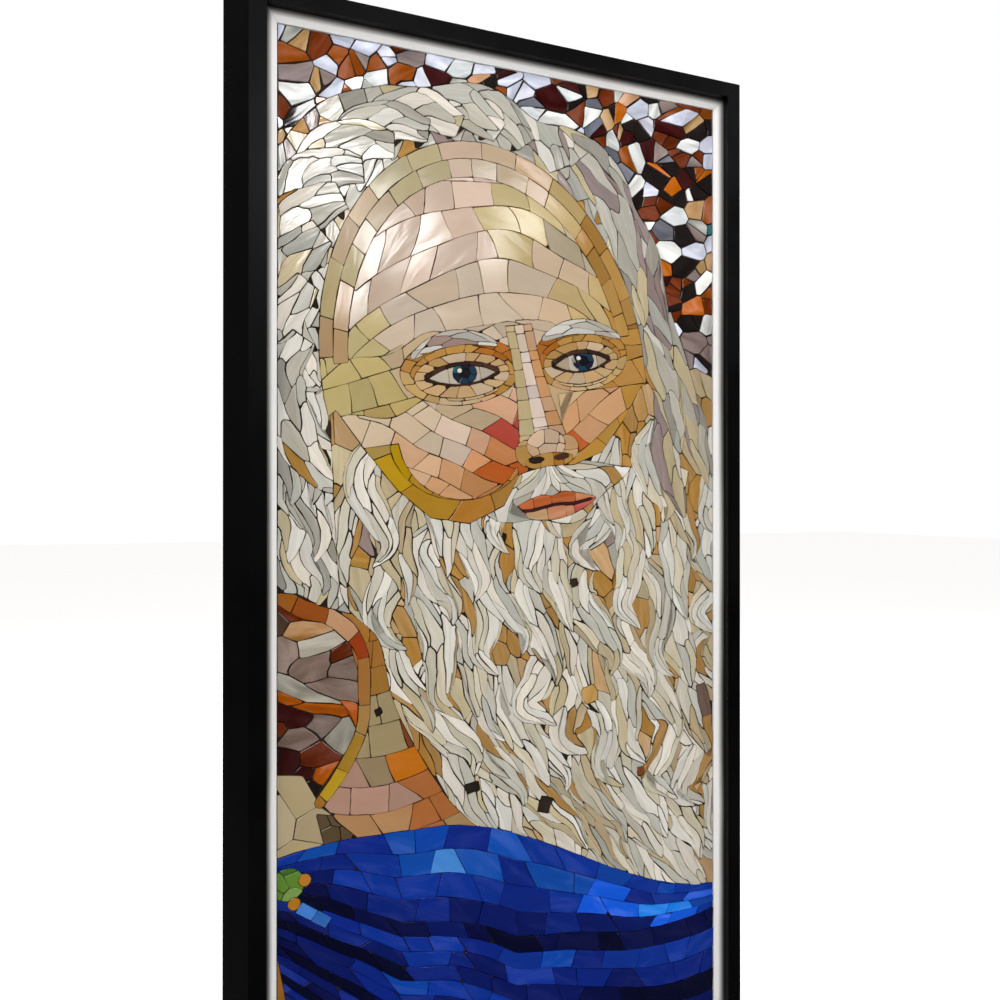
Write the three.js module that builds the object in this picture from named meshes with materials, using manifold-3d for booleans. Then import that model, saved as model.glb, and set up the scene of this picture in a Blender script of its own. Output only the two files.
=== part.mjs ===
// A tall framed mosaic panel: a bald elder with a long white beard and a blue robe, in cut glass.
// The glass is bedded in mortar on a board, bordered by a white slip, inside a black frame whose
// outer face slopes back to the wall. The picture's courses of glass are fused zone by zone here.
// Millimetres, +X to the right, +Z up. The picture faces -Y and the flat back lies at y = 0.
import * as THREE from "three";
import { mergeVertices } from "three/addons/utils/BufferGeometryUtils.js";
import Module from "manifold-3d";

const wasm = await Module();
wasm.setup();

// Driving sizes
const FIELD_WIDTH = 600; // the mosaic picture itself
const FIELD_HEIGHT = 1300;
const BOARD_THICKNESS = 18;
const MORTAR_THICKNESS = 4;
const GLASS_THICKNESS = 4;
const GLASS_PROUD = 1.5; // how far the glass stands above the grout
const JOINT_WIDTH = 2.4; // the dark joint between two tiles
const LEAST_TILE = 40; // square millimetres, below which a cut tile is left as grout
const SHORTEST_SIDE = 6; // sides of a tile shorter than this are cut off as a corner
const SLIP_WIDTH = 12; // the white border that shows
const SLIP_INNER_STEP = 1; // slip's inner edge above the glass
const SLIP_RISE = 8; // from its inner edge to its outer edge
const LIP_OVERLAP = 4; // how far the frame's lip covers the slip
const LIP_THICKNESS = 10; // the lip in front of the slip
const FRAME_FACE_WIDTH = 20; // flat front of the frame
const FRAME_SLOPE_WIDTH = 28; // the slope outside it
const FRAME_BACK_EDGE = 3; // square edge that meets the wall
const FIT_GAP = 0.3; // clearance between pieces that are fitted together

// The picture is squared up like a cartoon: 24 columns by 52 rows about its centre.
const COLUMN = FIELD_WIDTH / 24;
const ROW = FIELD_HEIGHT / 52;
const square = (x, z) => new THREE.Vector2(x * COLUMN, z * ROW);

const BED_FRONT = BOARD_THICKNESS + MORTAR_THICKNESS + GLASS_THICKNESS - GLASS_PROUD;
const GLASS_FRONT = BOARD_THICKNESS + MORTAR_THICKNESS + GLASS_THICKNESS;
const SLIP_INNER_FRONT = GLASS_FRONT + SLIP_INNER_STEP;
const SLIP_FRONT = SLIP_INNER_FRONT + SLIP_RISE;
const FRAME_DEPTH = SLIP_FRONT + LIP_THICKNESS;

const paint = {
  frame: new THREE.MeshStandardMaterial({ color: 0x0b0b0c, roughness: 0.35 }),
  slip: new THREE.MeshStandardMaterial({ color: 0xece9e4, roughness: 0.5 }),
  board: new THREE.MeshStandardMaterial({ color: 0xb58f62, roughness: 0.8 }),
  ground: new THREE.MeshStandardMaterial({ color: 0x7a3a1e, roughness: 0.15 }),
  hair: new THREE.MeshStandardMaterial({ color: 0xc9cbc4, roughness: 0.15 }),
  skin: new THREE.MeshStandardMaterial({ color: 0xc7ac80, roughness: 0.15 }),
  beard: new THREE.MeshStandardMaterial({ color: 0xcfccc0, roughness: 0.15 }),
  tunic: new THREE.MeshStandardMaterial({ color: 0xb8ab83, roughness: 0.15 }),
  robe: new THREE.MeshStandardMaterial({ color: 0x0a2a8c, roughness: 0.15 }),
  lining: new THREE.MeshStandardMaterial({ color: 0xa85a10, roughness: 0.15 }),
  brooch: new THREE.MeshStandardMaterial({ color: 0x5f8a2c, roughness: 0.15 }),
};

const panel = new THREE.Group();

function addPiece(name, geometry, material) {
  const mesh = new THREE.Mesh(geometry, material);
  mesh.name = name;
  panel.add(mesh);
}

// Outlines are drawn on the picture's face and given thickness from the wall towards the viewer.
function facingForward(geometry) {
  const position = geometry.getAttribute("position");
  for (let i = 0; i < position.count; i++)
    position.setXYZ(i, position.getX(i), -position.getZ(i), position.getY(i));
  return geometry;
}

function slab(outline, back, front) {
  const geometry = new THREE.ExtrudeGeometry(new THREE.Shape(outline), {
    depth: front - back,
    bevelEnabled: false,
  });
  geometry.translate(0, 0, back);
  return facingForward(geometry);
}

function solidOf(geometry) {
  const bare = geometry.clone();
  bare.deleteAttribute("normal");
  bare.deleteAttribute("uv");
  const merged = mergeVertices(bare);
  return new wasm.Manifold(
    new wasm.Mesh({
      numProp: 3,
      vertProperties: merged.getAttribute("position").array,
      triVerts: new Uint32Array(merged.index.array),
    }),
  );
}

function geometryOf(solid) {
  const { vertProperties, triVerts } = solid.getMesh();
  const geometry = new THREE.BufferGeometry();
  geometry.setAttribute("position", new THREE.BufferAttribute(vertProperties, 3));
  geometry.setIndex(new THREE.BufferAttribute(triVerts, 1));
  geometry.computeVertexNormals();
  return geometry;
}

// Board, slip and frame

// A bar with mitred ends: the section runs outwards from its inner edge and forwards from the
// wall, and each end leaves half a fitting gap at the mitre.
function mitredBar(section, innerLength) {
  const shape = new THREE.Shape(section.map(([out, front]) => new THREE.Vector2(out, front)));
  const geometry = new THREE.ExtrudeGeometry(shape, { depth: 2, bevelEnabled: false });
  geometry.translate(0, 0, -1);
  const position = geometry.getAttribute("position");
  for (let i = 0; i < position.count; i++) {
    const out = position.getX(i);
    const reach = innerLength / 2 + out - FIT_GAP / 2;
    position.setXYZ(i, position.getZ(i) * reach, -position.getY(i), out);
  }
  geometry.computeVertexNormals();
  return geometry;
}

// The four bars of one border, their inner edges standing `margin` outside the field.
function border(name, section, margin, material) {
  const halfWidth = FIELD_WIDTH / 2 + margin;
  const halfHeight = FIELD_HEIGHT / 2 + margin;
  const sides = [
    { side: "top", inner: 2 * halfWidth, turn: 0, x: 0, z: halfHeight },
    { side: "right", inner: 2 * halfHeight, turn: Math.PI / 2, x: halfWidth, z: 0 },
    { side: "bottom", inner: 2 * halfWidth, turn: Math.PI, x: 0, z: -halfHeight },
    { side: "left", inner: 2 * halfHeight, turn: -Math.PI / 2, x: -halfWidth, z: 0 },
  ];
  for (const { side, inner, turn, x, z } of sides) {
    const geometry = mitredBar(section, inner);
    geometry.rotateY(turn);
    geometry.translate(x, 0, z);
    addPiece(`${name}_${side}`, geometry, material);
  }
}

const REBATE = LIP_OVERLAP; // measured from the lip's inner edge
border(
  "frame",
  [
    [REBATE, 0],
    [FRAME_FACE_WIDTH + FRAME_SLOPE_WIDTH, 0],
    [FRAME_FACE_WIDTH + FRAME_SLOPE_WIDTH, FRAME_BACK_EDGE],
    [FRAME_FACE_WIDTH, FRAME_DEPTH],
    [0, FRAME_DEPTH],
    [0, SLIP_FRONT + FIT_GAP],
    [REBATE, SLIP_FRONT + FIT_GAP],
  ],
  SLIP_WIDTH,
  paint.frame,
);

const SLIP_OUTER = SLIP_WIDTH + REBATE - FIT_GAP;
border(
  "slip",
  [
    [0, BOARD_THICKNESS],
    [SLIP_OUTER - FIT_GAP, BOARD_THICKNESS],
    [SLIP_OUTER - FIT_GAP, SLIP_FRONT],
    [SLIP_WIDTH - FIT_GAP, SLIP_FRONT],
    [0, SLIP_INNER_FRONT],
  ],
  FIT_GAP,
  paint.slip,
);

const board = new THREE.BoxGeometry(
  FIELD_WIDTH + 2 * SLIP_OUTER,
  BOARD_THICKNESS,
  FIELD_HEIGHT + 2 * SLIP_OUTER,
);
board.translate(0, -BOARD_THICKNESS / 2, 0);
addPiece("backing_board", board, paint.board);

// The drawing of the figure, in squares of the cartoon

const HEAD = { x: -1.2, z: 10.2, halfWidth: 8.8, halfHeight: 11.8, tilt: 0.157 };

// A point of the head: across and up are shares of its half width and half height.
function onHead(across, up) {
  const a = across * HEAD.halfWidth;
  const b = up * HEAD.halfHeight;
  const x = HEAD.x + a * Math.cos(HEAD.tilt) - b * Math.sin(HEAD.tilt);
  const z = HEAD.z + a * Math.sin(HEAD.tilt) + b * Math.cos(HEAD.tilt);
  return square(x, z);
}

const corners = (points) => points.map(([x, z]) => square(x, z));
const curve = (points, steps) => new THREE.SplineCurve(corners(points)).getPoints(steps);
const mix = THREE.MathUtils.lerp;
const PAST = 14; // outlines run past the field's edge and are cut square by it

const headOutline = Array.from({ length: 40 }, (_, i) => {
  const angle = (i / 40) * 2 * Math.PI;
  return onHead(Math.cos(angle), Math.sin(angle));
});

// The robe's upper edge: level below the neck, then falling to the right.
const robeTop = (x) => mix(-12.8, -18.3, THREE.MathUtils.smoothstep(x, -4.5, 12));
const robeEdge = Array.from({ length: 25 }, (_, i) => mix(-PAST, PAST, i / 24));
const robeOutline = [
  ...robeEdge.map((x) => square(x, robeTop(x))),
  ...corners([[PAST, -30], [-PAST, -30]]),
];

const hairTop = [
  [-PAST, 19], [-12, 20.2], [-9.6, 22.9], [-7.2, 23.9], [-4.8, 24.3], [-1.1, 24.6],
  [1.1, 23.6], [4.6, 22.6], [7, 19.8], [8.6, 15], [10.9, 9.6], [12, 6], [PAST, 4],
];
const hairOutline = [...curve(hairTop, 32), ...corners([[PAST, -3], [-8.7, -1.6], [-PAST, -0.6]])];

const beardLeft = new THREE.SplineCurve([
  onHead(-1, -0.26),
  ...corners([[-8.9, -1.3], [-7.2, -3.3], [-6.3, -6.8], [-4.2, -10.5], [-2.4, -13.6]]),
]);
const beardOutline = [
  ...beardLeft.getPoints(16),
  ...corners([[-1, -22], [PAST, -24], [PAST, 5]]),
  ...[[0.99, -0.12], [0.8, -0.4], [0.5, -0.48], [0.2, -0.42]].map(([a, b]) => onHead(a, b)),
  ...[[-0.1, -0.46], [-0.5, -0.52], [-0.85, -0.42]].map(([a, b]) => onHead(a, b)),
];

const neckOutline = corners([
  [-9.2, -0.6], [-8, -5.2], [-8.2, -7.6], [-10.1, -10.8], [-9.2, -16], [4, -18], [0, 0],
]);
const tunicOutline = corners([[-PAST, -9.3], [-10.8, -9.5], [-9.7, -11.2], [-9, -16], [-PAST, -17]]);
const liningOutline = corners([[-PAST, -14], [-12.1, -17.2], [-10.8, -27], [-PAST, -27]]);

// Features of the face, each one tile, drawn on the head with its own half width and height

function roundOnHead(across, up, halfWidth, halfHeight, sides, point = 0) {
  return Array.from({ length: sides }, (_, i) => {
    const angle = (i / sides) * 2 * Math.PI;
    const narrowing = 1 - point * Math.abs(Math.cos(angle));
    return onHead(
      across + halfWidth * Math.cos(angle),
      up + halfHeight * Math.sin(angle) * narrowing,
    );
  });
}

const EYES = [-0.2, 0.57]; // their places across the head, which is turned a little to the right
const NOSE = { top: 0.2, tip: 0.27, halfTop: 0.07, halfTip: 0.14, base: -0.42 };
const brow = (across) =>
  [[-0.27, 0.1], [-0.1, 0.19], [0.16, 0.18], [0.27, 0.11], [0.13, 0.13], [-0.08, 0.135]].map(
    ([a, b]) => onHead(across + a, b),
  );
const nose = [
  onHead(NOSE.top - NOSE.halfTop, 0.16),
  onHead(NOSE.tip - NOSE.halfTip, NOSE.base + 0.05),
  onHead(NOSE.tip - NOSE.halfTip / 2, NOSE.base),
  onHead(NOSE.tip + NOSE.halfTip, NOSE.base),
  onHead(NOSE.tip + NOSE.halfTip, NOSE.base + 0.06),
  onHead(NOSE.top + NOSE.halfTop, 0.16),
];
const faceFeatures = [
  ...EYES.map((across) => roundOnHead(across, 0, 0.08, 0.045, 8)),
  ...EYES.map((across) => roundOnHead(across, 0, 0.2, 0.07, 12, 0.4)),
  ...EYES.map(brow),
  nose,
  roundOnHead(NOSE.top, 0.1, 0.16, 0.13, 7), // between the brows
];
const lips = roundOnHead(NOSE.tip - 0.03, -0.62, 0.28, 0.07, 12, 0.5);

const BROOCH = { x: -11.4, z: -14.3, radius: 1.1 };
const broochOutline = Array.from({ length: 12 }, (_, i) => {
  const angle = (i / 12) * 2 * Math.PI;
  return square(
    BROOCH.x + BROOCH.radius * Math.cos(angle),
    BROOCH.z + BROOCH.radius * Math.sin(angle),
  );
});

// Courses of glass

// Repeatable unevenness of hand-cut glass, from -0.5 to 0.5.
function unevenness(...numbers) {
  const mixed = Math.sin(numbers.reduce((sum, n, i) => sum + n * (12.9898 + 65.233 * i), 4.1));
  return mixed * 43758.5453 - Math.floor(mixed * 43758.5453) - 0.5;
}

function anticlockwise(outline) {
  return THREE.ShapeUtils.area(outline) < 0 ? [...outline].reverse() : outline;
}

// Moves every side of an outline outwards, or inwards when the distance is negative.
function moved(outline, distance) {
  const points = anticlockwise(outline);
  return points.map((point, i) => {
    const before = points[(i + points.length - 1) % points.length];
    const after = points[(i + 1) % points.length];
    const into = point.clone().sub(before).normalize();
    const away = after.clone().sub(point).normalize();
    const normal = new THREE.Vector2(into.y + away.y, -into.x - away.x).normalize();
    const slant = Math.max(0.5, normal.x * away.y - normal.y * away.x);
    return point.clone().addScaledVector(normal, distance / slant);
  });
}

// Leaves out the corners that lie too close together to cut a joint round.
const plain = (tile) =>
  tile.filter((point, i) => point.distanceTo(tile[(i + 1) % tile.length]) > SHORTEST_SIDE);

// Whether two sides of an outline cross.
function cross(a, b, c, d) {
  const turn = (p, q, r) => Math.sign(q.clone().sub(p).cross(r.clone().sub(p)));
  return turn(a, b, c) !== turn(a, b, d) && turn(c, d, a) !== turn(c, d, b);
}

// Whether a tile is still one plain shape once the joints round it are taken off.
function leavesTile(tile) {
  const cut = moved(tile, -JOINT_WIDTH / 2);
  const side = (i) => [cut[i], cut[(i + 1) % cut.length]];
  for (let i = 0; i < cut.length; i++)
    for (let j = i + 2; j < cut.length - (i === 0 ? 1 : 0); j++)
      if (cross(...side(i), ...side(j))) return false;
  return THREE.ShapeUtils.area(cut) > LEAST_TILE;
}

// Cuts a patch of glass into courses. `place` turns a share across and a share down into a
// point; `bends` adds corners along each tile where its course is curved.
function courses({ down, across, bends = 1, ragged = 0.3, place }) {
  const tiles = [];
  const edge = (row, line) => (line + ragged * unevenness(row, line, 3)) / across;
  for (let row = 0; row < down; row++) {
    const stagger = (row % 2) * 0.5;
    for (let i = -1; i < across; i++) {
      const left = edge(row, i + stagger);
      const right = edge(row, i + 1 + stagger);
      const top = [];
      const bottom = [];
      for (let k = 0; k <= bends; k++) {
        const share = mix(left, right, k / bends);
        top.push(place(share, row / down));
        bottom.push(place(share, (row + 1) / down));
      }
      tiles.push([...top, ...bottom.reverse()]);
    }
  }
  return tiles;
}

// Keeps the part of a cell that is nearer to its own centre than to another one.
function nearer(cell, centre, other) {
  const towards = other.clone().sub(centre);
  const halfway = centre.clone().add(other).multiplyScalar(0.5);
  const past = cell.map((point) => point.clone().sub(halfway).dot(towards));
  return cell.flatMap((point, i) => {
    const next = (i + 1) % cell.length;
    const kept = past[i] <= 0 ? [point] : [];
    const crossing = past[i] * past[next] < 0 ? past[i] / (past[i] - past[next]) : null;
    return crossing === null ? kept : [...kept, point.clone().lerp(cell[next], crossing)];
  });
}

// Cuts a patch into shards that meet halfway between scattered centres, two of them a share
// 1 / across apart; a patch much longer than it is wide gives them the shape of locks.
function shards({ down, across, ragged = 0.6, place }) {
  const centre = (i, j) =>
    new THREE.Vector2(
      i + 0.5 * (Math.abs(j) % 2) + ragged * unevenness(i, j, 1),
      j + ragged * unevenness(i, j, 2),
    );
  const reach = [-2, -1, 0, 1, 2];
  const round = reach.flatMap((di) => reach.map((dj) => [di, dj])).filter(([i, j]) => i || j);
  const tiles = [];
  for (let j = 0; j <= down; j++)
    for (let i = -1; i <= across; i++) {
      const own = centre(i, j);
      const start = [[-2, -2], [2, -2], [2, 2], [-2, 2]];
      const cell = round.reduce(
        (left, [di, dj]) => nearer(left, own, centre(i + di, j + dj)),
        start.map(([x, y]) => new THREE.Vector2(own.x + x, own.y + y)),
      );
      tiles.push(cell.map((point) => place(point.x / across, point.y / down)));
    }
  return tiles;
}

const groundShards = shards({
  down: 15,
  across: 8,
  ragged: 0.8,
  place: (a, d) => square(mix(-12, 12, a), mix(26, -13.5, d)),
});

// Locks of hair run beside the head from the neck over the crown to the far temple.
const hairLocks = shards({
  down: 6,
  across: 12,
  place: (a, d) => {
    const angle = mix(4.05, -0.7, a);
    const reach = mix(1.9, 0.96, d) + 0.03 * Math.sin(angle * 11);
    return onHead(reach * Math.cos(angle), reach * Math.sin(angle));
  },
});

// The face's shards run round from the top of the nose, where their first and last ones meet.
const faceShards = shards({
  down: 6,
  across: 15,
  ragged: 0.4,
  place: (a, d) => {
    const angle = mix(-0.5, 1.5, a) * Math.PI;
    const reach = mix(1.25, 0.06, d);
    return onHead(NOSE.top + reach * Math.cos(angle), 0.08 + reach * Math.sin(angle));
  },
});

// The beard's locks fall from the cheeks and the lip to its lower edge, and wave as they fall.
const beardTop = new THREE.SplineCurve(
  corners([[-8.8, 7.4], [-6.5, 4.2], [-2.5, 4], [1.4, 5.6], [5, 4.8], [8, 7.4], [12.6, 7.4]]),
);
const beardTip = new THREE.SplineCurve(
  corners([[-8.9, -1.3], [-7, -6.8], [-4, -11.5], [0, -14.6], [5, -17], [9, -18.6], [12.6, -19.4]]),
);
const beardLocks = shards({
  down: 14,
  across: 6,
  place: (a, d) => {
    const root = beardTop.getPoint(THREE.MathUtils.clamp(d, 0, 1));
    const tip = beardTip.getPoint(THREE.MathUtils.clamp(d, 0, 1));
    const wave = 0.45 * COLUMN * Math.sin(a * 16 + d * 8) * Math.sin(a * Math.PI);
    return root.lerp(tip, a).add(new THREE.Vector2(wave, 0));
  },
});

const neckShards = shards({
  down: 4,
  across: 3,
  place: (a, d) => square(mix(-10.6, -1, a), mix(-0.5, -14.5, d)),
});

const tunicShards = shards({
  down: 2,
  across: 1.5,
  place: (a, d) => square(mix(-12.6, -8.6, a), mix(-9, -14.5, d)),
});

// The robe's folds fan out from the brooch and sag across the chest.
const robeCourses = courses({
  down: 10,
  across: 7,
  bends: 2,
  ragged: 0.2,
  place: (a, d) => {
    const x = mix(-12.5, 12.5, a);
    const top = robeTop(x);
    const sag = 1.6 * Math.sin(a * Math.PI) * Math.sin(d * Math.PI);
    return square(x, mix(top, -26.5, d * mix(1.15, 1, a)) - sag);
  },
});

const liningCourses = courses({
  down: 3,
  across: 1,
  place: (a, d) => square(mix(-12.6, -10, a), mix(-17, -26.2, d)),
});

// Zones, from the one laid over the others to the one that they all lie over

const field = [
  new THREE.Vector2(-FIELD_WIDTH / 2, -FIELD_HEIGHT / 2),
  new THREE.Vector2(FIELD_WIDTH / 2, -FIELD_HEIGHT / 2),
  new THREE.Vector2(FIELD_WIDTH / 2, FIELD_HEIGHT / 2),
  new THREE.Vector2(-FIELD_WIDTH / 2, FIELD_HEIGHT / 2),
];

const zones = [
  { name: "brooch", outline: broochOutline, tiles: [broochOutline] },
  { name: "lining", outline: liningOutline, tiles: liningCourses },
  { name: "robe", outline: robeOutline, tiles: robeCourses },
  { name: "beard", outline: beardOutline, features: [lips], tiles: beardLocks },
  {
    name: "skin",
    piece: "face",
    outline: headOutline,
    features: faceFeatures,
    tiles: faceShards,
  },
  { name: "hair", outline: hairOutline, tiles: hairLocks },
  { name: "skin", piece: "neck", outline: neckOutline, tiles: neckShards },
  { name: "tunic", outline: tunicOutline, tiles: tunicShards },
  { name: "ground", outline: field, tiles: groundShards },
];

// Sides lie FIT_GAP apart between zones, and the glass stops half a joint inside its zone.
let over = [];

const cutBy = (solid, outlines, gap) =>
  outlines.reduce(
    (left, outline) => left.subtract(solidOf(slab(moved(outline, gap), 0, FRAME_DEPTH))),
    solid,
  );

function fusedGlass({ outline, tiles, features = [] }) {
  const fieldInside = solidOf(slab(moved(field, -JOINT_WIDTH / 2), 0, FRAME_DEPTH));
  const bed = cutBy(
    solidOf(slab(outline, BOARD_THICKNESS, BED_FRONT)).intersect(
      solidOf(slab(field, BOARD_THICKNESS, BED_FRONT)),
    ),
    over,
    FIT_GAP,
  );
  const inside = solidOf(slab(moved(outline, -JOINT_WIDTH / 2), 0, FRAME_DEPTH));
  let within = cutBy(inside.intersect(fieldInside), over, JOINT_WIDTH);
  const glass = [];
  const lay = (tile) => {
    const cut = slab(moved(tile, -JOINT_WIDTH / 2), BED_FRONT - GLASS_PROUD, GLASS_FRONT);
    const laid = solidOf(cut).intersect(within);
    if (laid.volume() > LEAST_TILE * 2 * GLASS_PROUD) glass.push(laid);
  };
  for (const feature of features) {
    lay(feature);
    within = cutBy(within, [feature], JOINT_WIDTH / 2);
  }
  tiles.map(plain).filter(leavesTile).forEach(lay);
  return bed.add(wasm.Manifold.union(glass));
}

// The figure parts the ground into an upper and a lower area; every other zone is one area.
for (const zone of zones) {
  const bodies = fusedGlass(zone)
    .decompose()
    .sort((one, other) => other.volume() - one.volume());
  const piece = zone.piece ?? zone.name;
  const places = zone.name === "ground" ? ["upper_", "lower_"] : [""];
  bodies.slice(0, places.length).forEach((body, i) => {
    addPiece(`${places[i]}${piece}_glass`, geometryOf(body), paint[zone.name]);
  });
  over = [...over, zone.outline];
}

export default panel;
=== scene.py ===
"""Framed wall mosaic of opaque cut glass: a bearded elder in a blue robe, white slip and black frame."""

import math

import bpy
import numpy as np
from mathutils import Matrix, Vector


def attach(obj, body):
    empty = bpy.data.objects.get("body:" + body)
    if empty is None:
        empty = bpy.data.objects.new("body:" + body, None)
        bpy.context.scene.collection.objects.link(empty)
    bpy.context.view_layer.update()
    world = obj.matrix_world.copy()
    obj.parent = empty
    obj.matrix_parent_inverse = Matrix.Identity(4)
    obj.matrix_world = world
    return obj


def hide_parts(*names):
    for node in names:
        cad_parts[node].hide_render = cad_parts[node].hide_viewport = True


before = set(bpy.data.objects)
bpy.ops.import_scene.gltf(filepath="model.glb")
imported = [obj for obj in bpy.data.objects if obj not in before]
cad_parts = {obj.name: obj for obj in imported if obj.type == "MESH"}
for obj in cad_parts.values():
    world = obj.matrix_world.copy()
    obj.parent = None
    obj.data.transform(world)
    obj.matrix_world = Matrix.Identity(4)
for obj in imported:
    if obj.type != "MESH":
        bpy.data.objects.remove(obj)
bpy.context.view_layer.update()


# The board at the back is plain plywood, 18 mm thick, cut to the picture's size. It carries the whole mosaic
# and lies flat on the wall. Its face is never seen; its back shows a bare veneer with long dark grain.
def new_material(name, roughness, ior=1.5):
    """A material with its nodes, ready for its colour and its surface to be linked."""
    made = bpy.data.materials.new(name)
    made.use_nodes = True
    nodes, links = made.node_tree.nodes, made.node_tree.links
    skin = nodes["Principled BSDF"]
    skin.inputs["Roughness"].default_value = roughness
    skin.inputs["IOR"].default_value = ior
    return made, nodes, links, skin


def object_pattern(nodes, links, scale=(1, 1, 1)):
    """Object coordinates, stretched for a pattern that runs one way."""
    place, mapping = nodes.new("ShaderNodeTexCoord"), nodes.new("ShaderNodeMapping")
    mapping.inputs["Scale"].default_value = scale
    links.new(place.outputs["Object"], mapping.inputs["Vector"])
    return mapping.outputs["Vector"]


def noise(nodes, links, vector, scale, detail=3.0, distortion=0.0):
    made = nodes.new("ShaderNodeTexNoise")
    made.inputs["Scale"].default_value = scale
    made.inputs["Detail"].default_value = detail
    made.inputs["Distortion"].default_value = distortion
    links.new(vector, made.inputs["Vector"])
    return made.outputs["Fac"]


def colour_ramp(nodes, links, value, *stops):
    made = nodes.new("ShaderNodeValToRGB")
    while len(made.color_ramp.elements) < len(stops):
        made.color_ramp.elements.new(0.5)
    for element, (place, colour) in zip(made.color_ramp.elements, stops):
        element.position = place
        element.color = (*colour, 1)
    links.new(value, made.inputs["Fac"])
    return made.outputs["Color"]


def bump(nodes, links, height, strength, distance):
    made = nodes.new("ShaderNodeBump")
    made.inputs["Strength"].default_value = strength
    made.inputs["Distance"].default_value = distance
    links.new(height, made.inputs["Height"])
    return made.outputs["Normal"]


plywood, nodes, links, skin = new_material("bare_plywood", 0.62)
grain = noise(nodes, links, object_pattern(nodes, links, (60, 60, 3)), 1.0, 6.0, 0.6)
veneer = colour_ramp(nodes, links, grain, (0.30, (0.36, 0.22, 0.11)), (0.52, (0.52, 0.36, 0.20)),
                     (0.75, (0.60, 0.44, 0.27)))
links.new(veneer, skin.inputs["Base Color"])
links.new(bump(nodes, links, grain, 0.25, 0.0004), skin.inputs["Normal"])


def dress(node, material):
    """Puts a material on a piece that is kept as the CAD has it."""
    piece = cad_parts[node]
    piece.data.materials.clear()
    piece.data.materials.append(material)


dress("backing_board", plywood)


# The frame is four mitred lengths of moulding, lacquered a satin near-black: a flat face 20 mm wide that
# slopes back to the wall on the outside. It stands proud of the slip and holds it in a rebate.
lacquer, nodes, links, skin = new_material("satin_black_lacquer", 0.4, 1.2)
pores = noise(nodes, links, object_pattern(nodes, links), 900.0, 2.0)
haze = noise(nodes, links, object_pattern(nodes, links), 9.0, 4.0)
links.new(colour_ramp(nodes, links, haze, (0.3, (0.0012, 0.0012, 0.0013)), (0.7, (0.0026, 0.0026, 0.003))),
          skin.inputs["Base Color"])
links.new(colour_ramp(nodes, links, haze, (0.3, (0.26, 0.26, 0.26)), (0.7, (0.40, 0.40, 0.40))),
          skin.inputs["Roughness"])
links.new(bump(nodes, links, pores, 0.08, 0.0002), skin.inputs["Normal"])
for side in ("top", "right", "bottom", "left"):
    dress("frame_" + side, lacquer)


# The slip is a narrow white painted wooden strip inside the frame, mitred at the corners, sloping down a
# little towards the glass. A painted shadow of the frame's edge greys it, darkening to near-black by the
# frame.
SLIP_HALF_WIDTH, SLIP_HALF_HEIGHT = 0.312, 0.662  # from its middle to the frame's inner edge
SHADE_WIDTH = 0.0068
white_paint, nodes, links, skin = new_material("white_slip_paint", 0.45)


def maths(operation, first, second=None):
    """One sum on sockets or numbers, in the tree at hand."""
    made = nodes.new("ShaderNodeMath")
    made.operation = operation
    for socket, value in zip(made.inputs, (first, second)):
        if isinstance(value, (int, float)):
            socket.default_value = value
        elif value is not None:
            links.new(value, socket)
    return made.outputs[0]


spot = nodes.new("ShaderNodeSeparateXYZ")
links.new(object_pattern(nodes, links), spot.inputs[0])
from_frame = maths("MINIMUM", maths("SUBTRACT", SLIP_HALF_WIDTH, maths("ABSOLUTE", spot.outputs["X"])),
                   maths("SUBTRACT", SLIP_HALF_HEIGHT, maths("ABSOLUTE", spot.outputs["Z"])))
brush = noise(nodes, links, object_pattern(nodes, links, (90, 90, 9)), 1.0, 3.0)
# Noise that makes the border of the painted shadow ragged
shadow_ragging = noise(nodes, links, object_pattern(nodes, links), 5.0, 3.0)
# Painted shadow of the frame on the slip: near-black at the frame's inner edge, white beyond SHADE_WIDTH
painted_shadow_edge = maths("ADD", maths("DIVIDE", from_frame, SHADE_WIDTH),
             maths("MULTIPLY", maths("SUBTRACT", shadow_ragging, 0.5), 0.5))
links.new(colour_ramp(nodes, links, painted_shadow_edge, (0.0, (0.012, 0.012, 0.013)), (0.3, (0.14, 0.135, 0.13)),
                      (0.65, (0.55, 0.54, 0.53)), (1.0, (0.97, 0.965, 0.955))), skin.inputs["Base Color"])
links.new(bump(nodes, links, brush, 0.12, 0.0002), skin.inputs["Normal"])
for side in ("top", "right", "bottom", "left"):
    dress("slip_" + side, white_paint)


# The bed is the mortar that the glass is pressed into, with the dark brown grout that fills the joints.
# It lies on the board and shows only between the pieces and where one is missing, a little below the glass.
BOARD_FRONT, BED_FRONT = -0.018, -0.024
PICTURE_HALF_WIDTH, PICTURE_HALF_HEIGHT = 0.2999, 0.6499
BED_STEP, TROWEL_MARKS = 0.006, 0.0003


def deselect_all():
    if bpy.context.mode != "OBJECT":
        bpy.ops.object.mode_set(mode="OBJECT")
    bpy.ops.object.select_all(action="DESELECT")


deselect_all()
bpy.ops.mesh.primitive_grid_add(x_subdivisions=round(2 * PICTURE_HALF_WIDTH / BED_STEP),
                                y_subdivisions=round(2 * PICTURE_HALF_HEIGHT / BED_STEP), size=2,
                                rotation=(math.pi / 2, 0, 0))
bed = bpy.context.object
bed.name = bed.data.name = "grout_bed"
bed.scale = (PICTURE_HALF_WIDTH, PICTURE_HALF_HEIGHT, 1)
bpy.ops.object.transform_apply(location=True, rotation=True, scale=True)
bpy.ops.object.mode_set(mode="EDIT")
bpy.ops.mesh.select_all(action="SELECT")
bpy.ops.mesh.extrude_region_move(TRANSFORM_OT_translate={"value": (0, BED_FRONT - BOARD_FRONT, 0)})
bpy.ops.object.mode_set(mode="OBJECT")
at = np.zeros(len(bed.data.vertices) * 3)
bed.data.vertices.foreach_get("co", at)
at = at.reshape(-1, 3)
front = at[:, 1] < (BED_FRONT - BOARD_FRONT) / 2
trowel = np.random.default_rng(3)
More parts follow.
